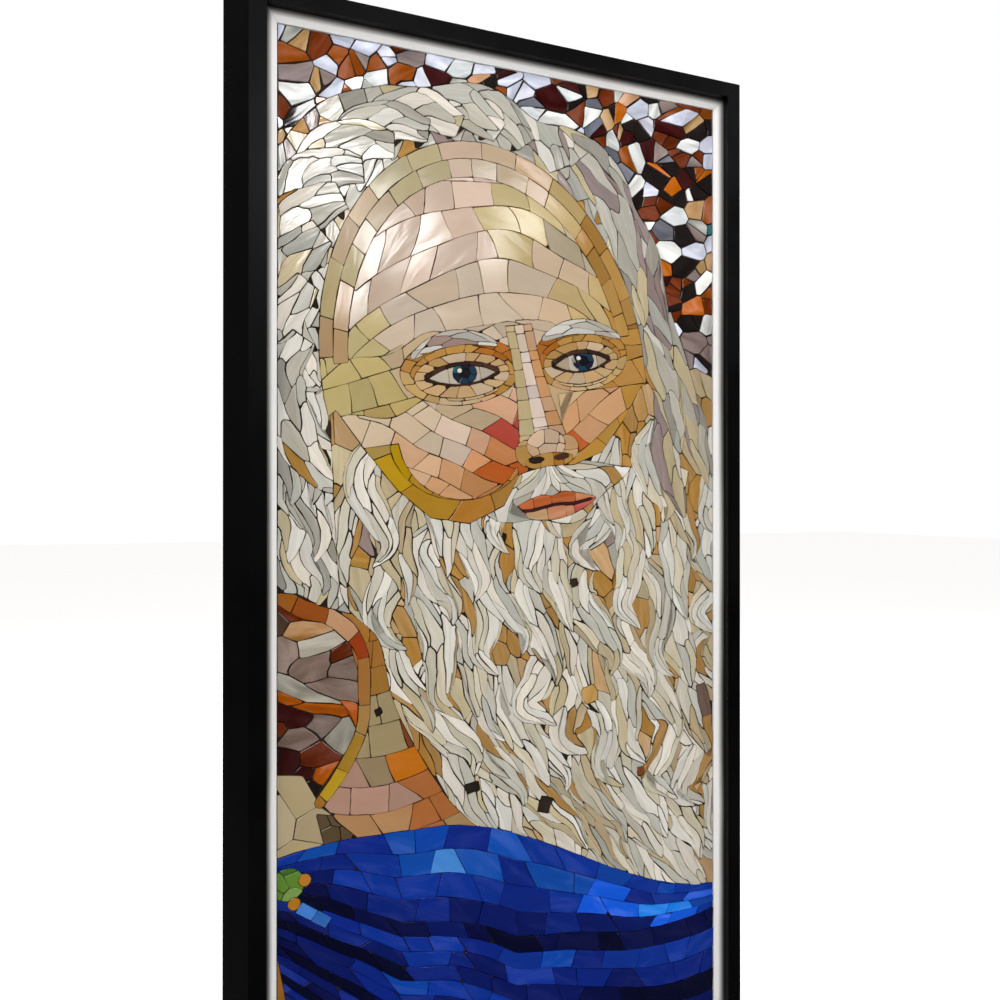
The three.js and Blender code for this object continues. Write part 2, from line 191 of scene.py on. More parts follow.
at[:, 1] += BOARD_FRONT
at[front, 1] += trowel.uniform(-TROWEL_MARKS, TROWEL_MARKS, int(front.sum()))
bed.data.vertices.foreach_set("co", at.ravel())
bpy.ops.object.mode_set(mode="EDIT")
bpy.ops.mesh.select_all(action="SELECT")
bpy.ops.mesh.normals_make_consistent(inside=False)
bpy.ops.object.mode_set(mode="OBJECT")
grout, nodes, links, skin = new_material("dark_grout", 0.9, 1.3)
sand = noise(nodes, links, object_pattern(nodes, links), 700.0, 3.0)
stain = noise(nodes, links, object_pattern(nodes, links), 14.0, 4.0)
links.new(colour_ramp(nodes, links, stain, (0.35, (0.012, 0.008, 0.006)), (0.65, (0.036, 0.023, 0.015))),
          skin.inputs["Base Color"])
links.new(bump(nodes, links, sand, 0.6, 0.0006), skin.inputs["Normal"])
bed.data.materials.append(grout)
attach(bed, "root")

# The drawing: the mosaic is cut to a full-size drawing, ruled in 25 mm squares from the picture's centre.
# Areas are drawn one over another, each with its own way of cutting and its own glasses. Once all are
# drawn, the glass is cut to them and set.
SQUARE = 0.025
HALF_WIDTH, HALF_HEIGHT = 12, 26  # of the picture, in squares
STEP = 1 / 32  # between two points of the drawing, in squares
columns, rows = int(2 * HALF_WIDTH / STEP), int(2 * HALF_HEIGHT / STEP)
point_x = (np.arange(columns) + 0.5) * STEP - HALF_WIDTH
point_z = HALF_HEIGHT - (np.arange(rows) + 0.5) * STEP
cut_number = np.zeros((rows, columns), np.int64)
area_number = np.zeros((rows, columns), np.int64)
areas = []
glasswork = []  # what becomes one object: its name, zones, CAD nodes, slot and glass


def lay(zone, spots, cut, glasses, joint=0.45):
    """Draws an area over what is there: its zone, how it is cut, its glasses and half its joint in mm."""
    r, c = np.nonzero(spots)
    areas.append((zone, glasses, joint))
    area_number[r, c] = len(areas)
    cut_number[r, c] = cut(point_x[c], point_z[r]) + len(areas) * (1 << 40)


# Background: shards of glossy rust, orange, brown, white and lavender glass, snapped with straight edges
# and set at random round the head in wide dark joints. At the lower left they lie in longer streaks.
# The glass is mottled, and every piece has its own streaks along its length.
hand_roll = np.random.default_rng(7).random((256, 256, 4))


def hand(i, j, k):
    """The unevenness of a hand cut, from 0 to 1, the same whenever the same cut is asked for."""
    return hand_roll[i.astype(int) & 255, j.astype(int) & 255, k]


def ramp(value, start, end):
    t = np.clip((value - start) / (end - start), 0, 1)
    return t * t * (3 - 2 * t)


def wander(a, b, size, seed):
    """A slow, soft unevenness over the picture, from -1 to 1."""
    a, b, s = a / size, b / size, seed * 1.7
    waves = np.sin(2.1 * a + s) + np.sin(1.7 * b - 1.3 * s) + np.sin(1.3 * (a + b) + 2.1 * s)
    return (waves + np.sin(2.3 * (a - b) - s)) / 4


def turned(angle, x, z, centre_x=0.0, centre_z=0.0):
    c, s = math.cos(angle), math.sin(angle)
    return (x - centre_x) * c + (z - centre_z) * s, (z - centre_z) * c - (x - centre_x) * s


def scattered(u, v, ragged=0.8, pointed=1.0, split=0.0):
    """Pieces that meet halfway between scattered centres, in rows one unit deep that pointed ends cross."""
    near_u, near_v = np.floor(u), np.floor(v)
    best = np.full(u.shape, 1e9)
    number = np.zeros(u.shape, np.int64)
    for dj in (-1, 0, 1, 2):
        j = near_v + dj
        shift = 0.5 * (j % 2)
        for di in (-2, -1, 0, 1):
            i = near_u + di
            off_u = u - (i + shift + 0.5 + ragged * (hand(i, j, 0) - 0.5))
            off_v = v - (j + ragged * (hand(i, j, 1) - 0.5))
            away = (pointed * off_u) ** 2 + off_v**2
            this = (i.astype(np.int64) + 512) * 1024 + j.astype(np.int64) + 512
            if split:
                way = hand(i, j, 2) * math.pi
                halved = (off_u * np.cos(way) + off_v * np.sin(way) > 0.1) & (hand(i, j, 3) < split)
                this = this * 2 + halved
            nearer = away < best
            best = np.where(nearer, away, best)
            number = np.where(nearer, this, number)
    return number


def inside(outline):
    """Which points of the drawing lie inside a closed outline."""
    found = np.zeros((rows, columns), bool)
    for (x0, z0), (x1, z1) in zip(outline, np.roll(outline, -1, axis=0)):
        if z0 != z1:
            across = np.nonzero((point_z > min(z0, z1)) & (point_z <= max(z0, z1)))[0]
            crossing = x0 + (point_z[across] - z0) * (x1 - x0) / (z1 - z0)
            found[across] ^= point_x[None, :] > crossing[:, None]
    return found


def where(test, low_x=-HALF_WIDTH, high_x=HALF_WIDTH, low_z=-HALF_HEIGHT, high_z=HALF_HEIGHT):
    """Which points of the drawing pass a test, looked for inside a rectangle."""
    left, right = max(low_x, -HALF_WIDTH), min(high_x, HALF_WIDTH)
    top, bottom = min(high_z, HALF_HEIGHT), max(low_z, -HALF_HEIGHT)
    c0, c1 = (int(round((x + HALF_WIDTH) / STEP)) for x in (left, right))
    r0, r1 = (int(round((HALF_HEIGHT - z) / STEP)) for z in (top, bottom))
    found = np.zeros((rows, columns), bool)
    x, z = np.meshgrid(point_x[c0:c1], point_z[r0:r1])
    found[r0:r1, c0:c1] = test(x, z)
    return found


def any_of(*choices):
    """Glasses taken at random by weight."""
    weights = np.cumsum([choice[0] for choice in choices])

    def chosen(x, z, roll):
        return choices[int(np.searchsorted(weights, roll[0] * weights[-1]))][1]

    return chosen


LAVENDER, PALE, LIGHT_GREY = (0.66, 0.68, 0.80), (0.78, 0.80, 0.79), (0.48, 0.49, 0.47)
RUST, SIENNA, DEEP_ORANGE = (0.17, 0.032, 0.008), (0.30, 0.075, 0.012), (0.55, 0.13, 0.003)
TAN, TAUPE, PEACH = (0.48, 0.29, 0.13), (0.28, 0.22, 0.21), (0.66, 0.36, 0.20)
MAROON, UMBER, COCOA = (0.045, 0.004, 0.004), (0.012, 0.008, 0.007), (0.10, 0.062, 0.045)
TEAL, SMOKE = (0.02, 0.12, 0.13), (0.16, 0.17, 0.21)


def ground_cut(x, z):
    u, v = turned(0.5, x, z)
    bend = 0.6 * wander(x, z, 2.5, 1)
    return scattered((u + bend) / 1.2, (v - bend) / 0.95, 1.0, 1.0, 0.5)


def ground_glasses(x, z, roll):
    dark = ramp(x, -2, 6)
    return any_of((4.4 - 2 * dark, LAVENDER), (3 + dark, PALE), (4, RUST), (3 - 1.3 * dark, SIENNA),
                  (1.2 - 0.5 * dark, DEEP_ORANGE), (1.5 - 0.5 * dark, TAN), (2 + 0.6 * dark, TAUPE),
                  (2 + 0.5 * dark, MAROON), (1 + 5 * dark, UMBER), (1.2 - 0.8 * dark, PEACH),
                  (1 - 0.5 * dark, LIGHT_GREY), (1.6 * dark, SMOKE), (0.35, TEAL))(x, z, roll)


lay("ground", where(lambda x, z: x < HALF_WIDTH), ground_cut, ground_glasses, 1.0)


def low_ground_cut(x, z):
    u, v = turned(0.12, x, z)
    return scattered((u + 0.5 * wander(x, z, 1.5, 2)) / (1.6 + 0.9 * ramp(z, -7, -4)),
                     (v + 0.5 * wander(x, z, 2.4, 3)) / (1.0 - 0.3 * ramp(z, -7, -4)), 0.9, 1.3, 0.1)


def low_ground_glasses(x, z, roll):
    streaks = float(ramp(z, -7, -4.5))
    return any_of((2.6 - 2.4 * streaks, LAVENDER), (3 - 2 * streaks, MAROON), (1 + 4 * streaks, TAUPE),
                  (2.6 - streaks, DEEP_ORANGE), (1 + 0.6 * streaks, UMBER), (1.6 - 1.5 * streaks, PALE),
                  (2, RUST), (0.5 + streaks, TAN), (0.4 + streaks, LIGHT_GREY),
                  (2.5 * streaks, COCOA))(x, z, roll)


lay("low ground", inside([(-14, -0.2), (-8.6, -1.4), (-8.0, -6), (-8.4, -8), (-10.2, -10.6), (-14, -10)]),
    low_ground_cut, low_ground_glasses, 0.75)

streaks = bpy.data.node_groups.new("opal_streaks", "ShaderNodeTree")
for label, kind in (("Glass", "NodeSocketColor"), ("Amount", "NodeSocketFloat"),
                    ("Across", "NodeSocketFloat")):
    streaks.interface.new_socket(label, in_out="INPUT", socket_type=kind)
for label, kind in (("Color", "NodeSocketColor"), ("Ripple", "NodeSocketFloat")):
    streaks.interface.new_socket(label, in_out="OUTPUT", socket_type=kind)
nodes, links = streaks.nodes, streaks.links
entry, leave = nodes.new("NodeGroupInput"), nodes.new("NodeGroupOutput")
grain = nodes.new("ShaderNodeAttribute")
grain.attribute_name = "grain"
place = nodes.new("ShaderNodeTexCoord")
split = nodes.new("ShaderNodeSeparateXYZ")
links.new(grain.outputs["Vector"], split.inputs[0])
spot = nodes.new("ShaderNodeSeparateXYZ")
links.new(place.outputs["Object"], spot.inputs[0])
along = maths("ADD", maths("MULTIPLY", spot.outputs["X"], split.outputs["X"]),
              maths("MULTIPLY", spot.outputs["Z"], split.outputs["Z"]))
across = maths("SUBTRACT", maths("MULTIPLY", spot.outputs["X"], split.outputs["Z"]),
               maths("MULTIPLY", spot.outputs["Z"], split.outputs["X"]))
ALONG_STREAKS, SHEETS_APART = 14.0, 90.0
sheet = nodes.new("ShaderNodeCombineXYZ")
links.new(maths("MULTIPLY", along, ALONG_STREAKS), sheet.inputs["X"])
links.new(maths("MULTIPLY", across, entry.outputs["Across"]), sheet.inputs["Y"])
links.new(maths("MULTIPLY", split.outputs["Y"], SHEETS_APART), sheet.inputs["Z"])
cloud = noise(nodes, links, sheet.outputs[0], 1.0, 4.0, 0.8)
shade = maths("MULTIPLY", maths("SUBTRACT", cloud, 0.5), entry.outputs["Amount"])
tint = nodes.new("ShaderNodeHueSaturation")
links.new(maths("ADD", shade, 1.0), tint.inputs["Value"])
links.new(maths("SUBTRACT", 1.0, maths("MULTIPLY", shade, 0.4)), tint.inputs["Saturation"])
links.new(entry.outputs["Glass"], tint.inputs["Color"])
links.new(tint.outputs[0], leave.inputs["Color"])
ripple = nodes.new("ShaderNodeVectorMath")
ripple.operation = "ADD"
links.new(place.outputs["Object"], ripple.inputs[0])
links.new(sheet.outputs[0], ripple.inputs[1])
links.new(noise(nodes, links, ripple.outputs[0], 1.2, 2.0, 0.4), leave.inputs["Ripple"])


def glass_material(name, amount, across, ripple_depth, roughness, ior=1.52):
    made, nodes, links, skin = new_material(name, roughness, ior)
    colour = nodes.new("ShaderNodeAttribute")
    colour.attribute_name = "glass"
    pattern = nodes.new("ShaderNodeGroup")
    pattern.node_tree = streaks
    pattern.inputs["Amount"].default_value = amount
    pattern.inputs["Across"].default_value = across
    links.new(colour.outputs["Color"], pattern.inputs["Glass"])
    links.new(pattern.outputs["Color"], skin.inputs["Base Color"])
    links.new(bump(nodes, links, pattern.outputs["Ripple"], 0.5, ripple_depth), skin.inputs["Normal"])
    return made


mottled_glass = glass_material("mottled_glass", 2.2, 38.0, 0.0014, 0.08)
glasswork.append(("background_pieces", ["ground", "low ground"],
                  ["upper_ground_glass", "lower_ground_glass"], "background_glass", mottled_glass))

# Tunic: a corner of khaki and cream glass at the lower left, in large plain pieces of opaque sheet, with a
# darker brown patch of shade between it and the neck.
CREAM = (0.50, 0.43, 0.27)
lay("tunic", inside([(-14, -9.1), (-10.8, -9.5), (-9.9, -11.2), (-7, -13.2), (-7, -15), (-14, -15)]),
    lambda x, z: scattered(x / 1.9 + 0.3, z / 1.7, 0.7),
    any_of((4, CREAM), (2, (0.54, 0.49, 0.35)), (1, (0.44, 0.38, 0.25))))
lay("tunic", inside([(-10.2, -11.4), (-9.2, -11.6), (-7.2, -13.4), (-9.5, -14.4)]),
    lambda x, z: scattered(x / 1.5, z / 1.6, 0.5),
    any_of((2, (0.09, 0.06, 0.03)), (2, (0.12, 0.085, 0.045))))
plain_glass = glass_material("plain_opaque_glass", 0.22, 40.0, 0.0008, 0.14)
glasswork.append(("tunic_pieces", ["tunic"], ["tunic_glass"], "tunic_glass", plain_glass))

# Neck: beige, salmon and golden brown pieces in bent courses, between the beard and the robe. A border of
# narrow orange and golden pieces, laid end to end, runs from under the hair down its left edge.
BEIGE, SALMON, GOLDEN = (0.40, 0.31, 0.19), (0.52, 0.33, 0.27), (0.38, 0.19, 0.035)


def in_courses(u, v, ragged=0.5, slant=0.15):
    """Pieces laid end to end along u, in courses one unit deep."""
    j = np.floor(v)
    along = u + 0.5 * (j % 2)
    k = np.floor(along)

    def line(m):
        return m + ragged * (hand(m, j, 0) - 0.5) + slant * 2 * (hand(m, j, 1) - 0.5) * (v - j - 0.5)

    k = k - 1 + (along >= line(k)) + (along >= line(k + 1))
    return (k.astype(np.int64) + 512) * 1024 + j.astype(np.int64) + 512


def by_place(spread, marks, axes=None):
    """Glasses taken from the nearest mark on the drawing."""

    def chosen(x, z, roll):
        if axes:
            x, z = axes(x, z)
        x, z = x + spread * (roll[0] - 0.5), z + spread * (roll[1] - 0.5)
        return min(marks, key=lambda mark: math.hypot(mark[0] - x, mark[1] - z))[2]

    return chosen


def neck_cut(x, z):
    u, v = turned(0.25, x, z)
    return in_courses((u + 0.4 * wander(x, z, 2, 5)) / 1.75,
                      (v - 0.05 * (u + 7) ** 2 + 0.3 * wander(x, z, 3, 8)) / 1.4, 0.6, 0.5)


lay("neck", inside([(-9.6, 0.4), (-8.1, -5.2), (-8.1, -7.8), (-10.0, -10.8), (-9.2, -11.9), (-7, -14),
                    (2, -16), (1, -6), (-3, 0)]),
    neck_cut,
    by_place(0.7, [(-7.3, -7.5, (0.42, 0.35, 0.20)), (-7.0, -9.5, BEIGE), (-8.3, -10.9, SALMON),
                   (-6.2, -11.0, SALMON), (-7.4, -12.2, (0.50, 0.28, 0.13)),
                   (-5.0, -9.4, (0.60, 0.19, 0.008)), (-4.6, -11.4, (0.44, 0.16, 0.045)),
                   (-3.2, -11.6, (0.46, 0.21, 0.10)), (-5.2, -7.0, (0.22, 0.06, 0.015)),
                   (-4.2, -8.2, (0.36, 0.31, 0.27)), (-8.0, -1.5, (0.34, 0.10, 0.012)),
                   (-7.3, -3.4, (0.42, 0.19, 0.04)), (-7.2, -5.2, GOLDEN),
                   (-2.5, -12.4, (0.42, 0.29, 0.14))]))


def rounded(points, steps=8):
    """A smooth line drawn through points."""
    p = np.array(points, float)
    line = []
    for i in range(len(p) - 1):
        a, b, c, d = (p[min(max(i + k, 0), len(p) - 1)] for k in (-1, 0, 1, 2))
        squared, cubed = 2 * a - 5 * b + 4 * c - d, 3 * b - a - 3 * c + d
        for t in np.arange(steps) / steps:
            line.append(0.5 * (2 * b + (c - a) * t + squared * t**2 + cubed * t**3))
    return np.array(line + [p[-1]])


def to_line(line, x, z):
    """How far a point is to the left of a drawn line, and how far along it."""
    off = np.full(x.shape, 1e9)
    run = np.zeros(x.shape)
    done = 0.0
    for (x0, z0), (x1, z1) in zip(line[:-1], line[1:]):
        length = math.hypot(x1 - x0, z1 - z0)
        tx, tz = (x1 - x0) / length, (z1 - z0) / length
        t = np.clip((x - x0) * tx + (z - z0) * tz, 0, length)
        side = np.where((z - z0) * tx - (x - x0) * tz > 0, 1.0, -1.0)
        this = np.hypot(x - x0 - t * tx, z - z0 - t * tz) * side
        nearer = abs(this) < abs(off)
        off = np.where(nearer, this, off)
        run = np.where(nearer, done + t, run)
        done += length
    return off, run


neck_edge = rounded([(-12.8, -0.2), (-11.6, -1.1), (-10.6, -1.65), (-9.6, -2.0), (-8.6, -2.8), (-8.0, -3.9),
                     (-7.9, -5.4), (-8.0, -7.4), (-8.8, -9.2), (-10.0, -10.9)])


def border_cut(x, z):
    off, run = to_line(neck_edge, x, z)
    return in_courses(run / 1.7, off + 0.5, 0.4)


def border_shape(x, z):
    off, run = to_line(neck_edge, x, z)
    return abs(off) < 0.42 - 0.14 * ramp(run, 3, 7) + 0.08 * wander(x, z, 1.1, 3)


lay("neck", where(border_shape, -12, -7, -12, 0), border_cut,
    by_place(0.5, [(-11.6, -1.1, (0.42, 0.15, 0.02)), (-10.3, -1.7, (0.34, 0.09, 0.012)),
                   (-9.2, -2.2, (0.60, 0.36, 0.22)), (-8.4, -3.1, (0.42, 0.14, 0.015)),
                   (-7.9, -4.3, (0.40, 0.06, 0.01)), (-7.9, -5.6, (0.40, 0.19, 0.05)),
                   (-8.0, -7.0, (0.42, 0.25, 0.08)), (-8.6, -8.6, (0.46, 0.28, 0.03)),
                   (-9.2, -9.6, (0.56, 0.38, 0.02)), (-9.9, -10.6, (0.42, 0.20, 0.03))]))
glasswork.append(("neck_pieces", ["neck"], ["neck_glass"], "skin_glass", plain_glass))

# Hair: locks of long white, silver and ash pieces drawn out to points, cut from streaky sheet glass. They
# hang beside the near cheek, each over the one below, and curl over the crown in to the forehead.
SILVER, ASH, SNOW, SLATE = (0.60, 0.61, 0.58), (0.48, 0.49, 0.46), (0.80, 0.80, 0.78), (0.36, 0.36, 0.34)
OAT, MAUVE, BRONZE = (0.58, 0.52, 0.36), (0.33, 0.27, 0.28), (0.48, 0.26, 0.06)
hair_top = rounded([(-14, 19), (-12, 20.2), (-11.2, 21.3), (-9.6, 22.9), (-7.2, 23.9), (-4.8, 24.3),
                    (-2.6, 24.9), (-0.8, 24.7), (1.1, 23.6), (2.9, 23.5), (4.8, 22.9), (6.3, 21.4),
                    (7.0, 19.7), (8.4, 17.6), (8.9, 15), (10.1, 12), (10.9, 9.6), (11.6, 8), (12, 6),
                    (14, 4)])
hair = inside(np.vstack([hair_top, [(14, -3), (-8.7, -1.9), (-10.0, -1.5), (-11.0, -0.9), (-14, -0.5)]]))
HEAD_X, HEAD_Z, HEAD_HALF_HEIGHT, HEAD_TILT = -1.2, 10.2, 11.8, 0.157  # from the picture's middle
HEAD_HALF_WIDTH, HEAD_BROADER = 7.6, 8.8 / 7.6  # as the features are drawn, and how much broader the head is
WIDEST = 0.35  # where along a lock it is broadest
WAVER, WAVES = 0.05, 3.0  # of the strands in a lock


def from_head(p, q):
    c, s = math.cos(HEAD_TILT), math.sin(HEAD_TILT)
    p = p * HEAD_BROADER
    return HEAD_X + p * c - q * s, HEAD_Z + p * s + q * c


def round_head(turn, out):
    """A point at a turn about the head, in degrees from its right side, and out from the edge of the face."""
    turn = math.radians(turn)
    p, q = math.cos(turn) * (HEAD_HALF_WIDTH + out / HEAD_BROADER), math.sin(turn) * (HEAD_HALF_HEIGHT + out)
    return from_head(p, q)


def lock(zone, allowed, line, half, strands, glasses, piece, joint, start, blunt):
    """A lock: strands side by side along a line, broadest before its middle and drawn out to a point."""
    line = rounded(line, 5)
    length = float(np.hypot(*np.diff(line, axis=0).T).sum())
    low, high = line.min(0) - half, line.max(0) + half
    seed = len(areas) * 7.3

    def breadth(run):
        share = np.clip(run / length, 0, 1)
        swell = start + (1 - start) * np.sin(share / WIDEST * math.pi / 2)
        taper = np.cos((share - WIDEST) / (1 - WIDEST) * math.pi / 2) ** blunt
        return half * np.where(share < WIDEST, swell, taper) + 1e-6

    def waved(x, z):
        off, run = to_line(line, x, z)
        return off + WAVER * np.sin(run * WAVES + seed), run

    def within(x, z):
        off, run = waved(x, z)
        return (abs(off) < breadth(run)) & (run > 0) & (run < length)

    def cut(x, z):
        off, run = waved(x, z)
        across = off / (0.45 * half + 0.55 * breadth(run))
        along = run / piece + seed + 0.15 * np.sin(across * 5 + seed)
        return scattered(along, (across + 1) * strands / 2 + seed, 0.75, 1.6)

    lay(zone, allowed & where(within, low[0], high[0], low[1], high[1]), cut,
        lambda x, z, roll: glasses(line, breadth, x, z, roll), joint)


def lock_glasses(light, dim, dark):
    """Light glasses down the middle of a lock, dim ones towards its sides and a few dark ones at its edge."""

    def chosen(line, breadth, x, z, roll):
        off, run = to_line(line, np.array([x]), np.array([z]))
        side = float(abs(off[0]) / breadth(run[0]))
        return any_of(*[(w * max(1.25 - side, 0.1), c) for w, c in light],
                      *[(w * (0.25 + side), c) for w, c in dim],
                      *[(w * max(side - 0.45, 0), c) for w, c in dark])(x, z, roll)

    return chosen


WHITE_LOCK = lock_glasses([(4, SNOW), (4, SILVER), (2, ASH)], [(2, ASH), (1, SLATE), (1.2, OAT)],
                          [(1.2, OAT), (0.6, SLATE), (0.5, BRONZE)])
GREY_LOCK = lock_glasses([(3, SILVER), (3, ASH), (1.5, SNOW)], [(2, SLATE), (1, OAT), (0.8, MAUVE)],
                         [(1.5, MAUVE), (1, BRONZE), (1, SLATE)])
FAR_LOCK = lock_glasses([(3, SILVER), (2, ASH), (1.2, OAT)], [(3, MAUVE), (1, OAT), (1.5, SLATE)],
                        [(1.2, BRONZE), (2, MAUVE)])
UNDER_HAIR = any_of((2, OAT), (2, ASH), (1, SLATE), (1.5, BRONZE), (1, MAUVE), (1.5, SILVER))
lay("hair", hair, lambda x, z: scattered((x + 0.4 * z) / 1.1, (z - 0.4 * x) / 1.9, 0.8, 1.0), UNDER_HAIR,
    0.55)
locks_laid = np.random.default_rng(5)


def jitter(size):
    return float(locks_laid.uniform(-size, size))


# Down the near side, hanging from the temple past the jaw, the lower ones under the upper
NEAR_ROWS = (-0.5, 2.2, 4.9, 7.6, 10.2)  # the height at which each row of locks ends
for low_z in NEAR_ROWS:
    for place in (0.15, 0.85, 0.5):
        from_x = -12.3 + (2.9 + 0.4 * jitter(1)) * place
        sway = 0.35 + 0.3 * place
        line = [(from_x - 0.2, low_z + 4.6 + jitter(0.4)), (from_x + sway, low_z + 3.2),
                (from_x - 0.1, low_z + 1.6), (from_x + 0.2 + sway, low_z),
                (from_x + 0.5 + jitter(0.4), low_z - 1.6)]
        lock("hair", hair, line, 0.95, 4, GREY_LOCK if place > 0.8 else WHITE_LOCK, 2.9, 0.65, 0.5, 0.75)
# Over the crown and round the near temple: each lock starts at the outer edge and curls in to the forehead
CROWN_TURNS = (52, 62, 72, 83, 94, 105, 116, 127, 138, 149, 160, 171, 182)  # in degrees round the head
for turn in CROWN_TURNS:
    reach = 3.2 - 0.9 * abs(math.sin(math.radians(turn * 2.6)))
    thick = 1.12 + jitter(0.12)
    line = [round_head(turn - 16 + jitter(2), 0.7), round_head(turn - 6, 0.5 * reach + 0.6),
            round_head(turn + 4, 0.8 * reach + jitter(0.2)), round_head(turn + 15, 0.55 * reach),
            round_head(turn + 22 + jitter(2), 0.1)]
    lock("hair", hair, line, thick, 4, WHITE_LOCK if turn > 80 else GREY_LOCK, 2.2, 0.55, 0.55, 0.7)
streaky_glass = glass_material("streaky_white_glass", 0.6, 120.0, 0.0012, 0.12)
glasswork.append(("hair_pieces", ["hair"], ["hair_glass"], "hair_glass", streaky_glass))

# Face: pink, beige, ochre and honey pieces in bent courses, with two narrow courses round the brow as its
# outline. Its drawing is generic, and every feature is placed on the head's own axes.
forehead_marks = [
    (0.5, 9.5, (0.74, 0.62, 0.57)), (-2.5, 8.0, (0.66, 0.54, 0.47)), (2.6, 8.5, (0.62, 0.54, 0.30)),
    (-3.5, 5.5, (0.66, 0.54, 0.46)), (0.2, 6.0, (0.68, 0.55, 0.48)), (3.0, 6.4, (0.60, 0.50, 0.24)),
    (4.9, 6.0, (0.52, 0.48, 0.38)), (-1.5, 4.0, (0.62, 0.53, 0.44)), (1.6, 3.8, (0.66, 0.56, 0.46)),
    (3.4, 4.2, (0.70, 0.56, 0.42)), (5.6, 3.6, (0.64, 0.50, 0.26)), (-4.2, 3.2, (0.60, 0.52, 0.44)),
    (-5.8, 2.5, (0.55, 0.48, 0.25)), (-5.6, 0.0, (0.56, 0.48, 0.22)), (-4.0, 0.6, (0.56, 0.46, 0.32)),
    (-5.2, -2.2, (0.54, 0.42, 0.17)), (6.6, 2.0, (0.56, 0.32, 0.08)), (6.6, -1.0, (0.54, 0.30, 0.08)),
    (5.8, -3.2, (0.54, 0.28, 0.06)), (4.6, -4.6, (0.50, 0.26, 0.05)), (4.4, -3.2, (0.66, 0.42, 0.24)),
    (4.4, -1.8, (0.68, 0.52, 0.32)),
]


def head_axes(x, z):
    """Across and up from the middle of the head, along its tilt, in the measure its features are drawn in."""
    p, q = turned(HEAD_TILT, x, z, HEAD_X, HEAD_Z)
    return p / HEAD_BROADER, q


def about_head(x, z):
    """The turn about the middle of the head, and the distance, 1 at the edge of the face."""
    p, q = head_axes(x, z)
    p, q = p / HEAD_HALF_WIDTH, q / HEAD_HALF_HEIGHT
    return np.arctan2(q, p), np.hypot(p, q)


def lay_on_face(test, cut, glasses, joint):
    """Draws a part of the face, where a test on the head's axes passes, cut along the same axes."""

    def on_face(x, z):
        p, q = head_axes(x, z)
        return test(p, q) & (np.hypot(p / HEAD_HALF_WIDTH, q / HEAD_HALF_HEIGHT) < 1)

    lay("face", where(on_face, -12, 10, -4, 23), lambda x, z: cut(*head_axes(x, z)), glasses, joint)


def slanted_cut(p, q):
    across = p + 0.3 * q + 0.4 * wander(p, q, 1.8, 4)
    up = q - 0.2 * p + 0.4 * wander(p, q, 2.2, 1)
    return in_courses(across / 1.4, up / 1.45, 0.5, 0.5)


def forehead_cut(p, q):
    across = p + 0.5 * wander(p, q, 1.8, 4)
    up = q + 0.075 * p * p + 0.5 * wander(p, q, 2.4, 9)
    return in_courses(across / 1.5 + 0.25, up / 1.4, 0.5, 0.5)


FACE_JOINT = 0.42
lay_on_face(lambda p, q: q < HALF_HEIGHT, slanted_cut, by_place(0.5, forehead_marks, head_axes), FACE_JOINT)
lay_on_face(lambda p, q: q > 2.3 - 0.03 * p * p + 0.25 * np.sin(1.7 * p), forehead_cut,
            by_place(0.8, forehead_marks, head_axes), FACE_JOINT)
course_marks = [(-6.5, -2, (0.40, 0.24, 0.09)), (-7.0, 3, (0.50, 0.34, 0.19)),
                (-5.9, 5, (0.48, 0.42, 0.24)), (-4.8, 8, (0.56, 0.46, 0.34)),
                (-2.6, 10, (0.50, 0.45, 0.28)), (0, 11, (0.66, 0.54, 0.46)),
                (1.8, 10.6, (0.62, 0.52, 0.40)), (3.4, 10.2, (0.52, 0.34, 0.16)),
                (5.0, 7.8, (0.58, 0.44, 0.20)), (6.0, 5.6, (0.46, 0.25, 0.06)),
                (6.9, 3.4, (0.50, 0.30, 0.09)), (7.2, 0, (0.40, 0.20, 0.05))]
for course, (low, high) in enumerate([(0.845, 0.925), (0.925, 1.0)]):

    def course_shape(x, z):
        out = about_head(x, z)[1]
        return (out > low) & (out <= high) & (head_axes(x, z)[1] > 1.2 + 0.35 * course)

    def course_cut(x, z):
        round_brow = about_head(x, z)[0] * 10 / (1.9 + 0.35 * course)
        return in_courses(round_brow, course + 0.5 + 0.0 * x, 0.5, 0.45)

    lay("face", where(course_shape, -11, 10, -4, 23), course_cut, by_place(0.5, course_marks, head_axes),
        0.4)
cheek_marks = [(-1.5, -2.2, (0.60, 0.50, 0.36)), (-3.4, -2.4, (0.66, 0.56, 0.44)),
               (-2.4, -3.2, (0.74, 0.62, 0.54)), (-0.8, -2.9, (0.72, 0.44, 0.30)),
               (-3.6, -4.2, (0.72, 0.48, 0.32)), (-2.0, -4.4, (0.72, 0.38, 0.20)),
               (-0.4, -4.0, (0.62, 0.27, 0.11)), (0.5, -3.6, (0.50, 0.08, 0.06)),
               (-0.4, -5.4, (0.52, 0.12, 0.02)), (-1.8, -5.6, (0.62, 0.30, 0.12)),
               (-3.2, -5.6, (0.70, 0.40, 0.22))]
jaw_marks = [(-5.6, -3.4, (0.50, 0.36, 0.10)), (-4.7, -4.6, (0.56, 0.36, 0.008)),
             (-3.9, -5.7, (0.46, 0.26, 0.02)), (-2.9, -6.6, (0.42, 0.21, 0.03)),
             (-1.5, -6.6, (0.42, 0.20, 0.03)), (-0.2, -6.2, (0.50, 0.26, 0.06)),
             (-6.2, -2.2, (0.56, 0.40, 0.17)), (-0.6, -5.2, (0.45, 0.15, 0.02)),
             (-4.9, -6.6, (0.44, 0.22, 0.03)), (-2.2, -7.6, (0.50, 0.32, 0.12))]
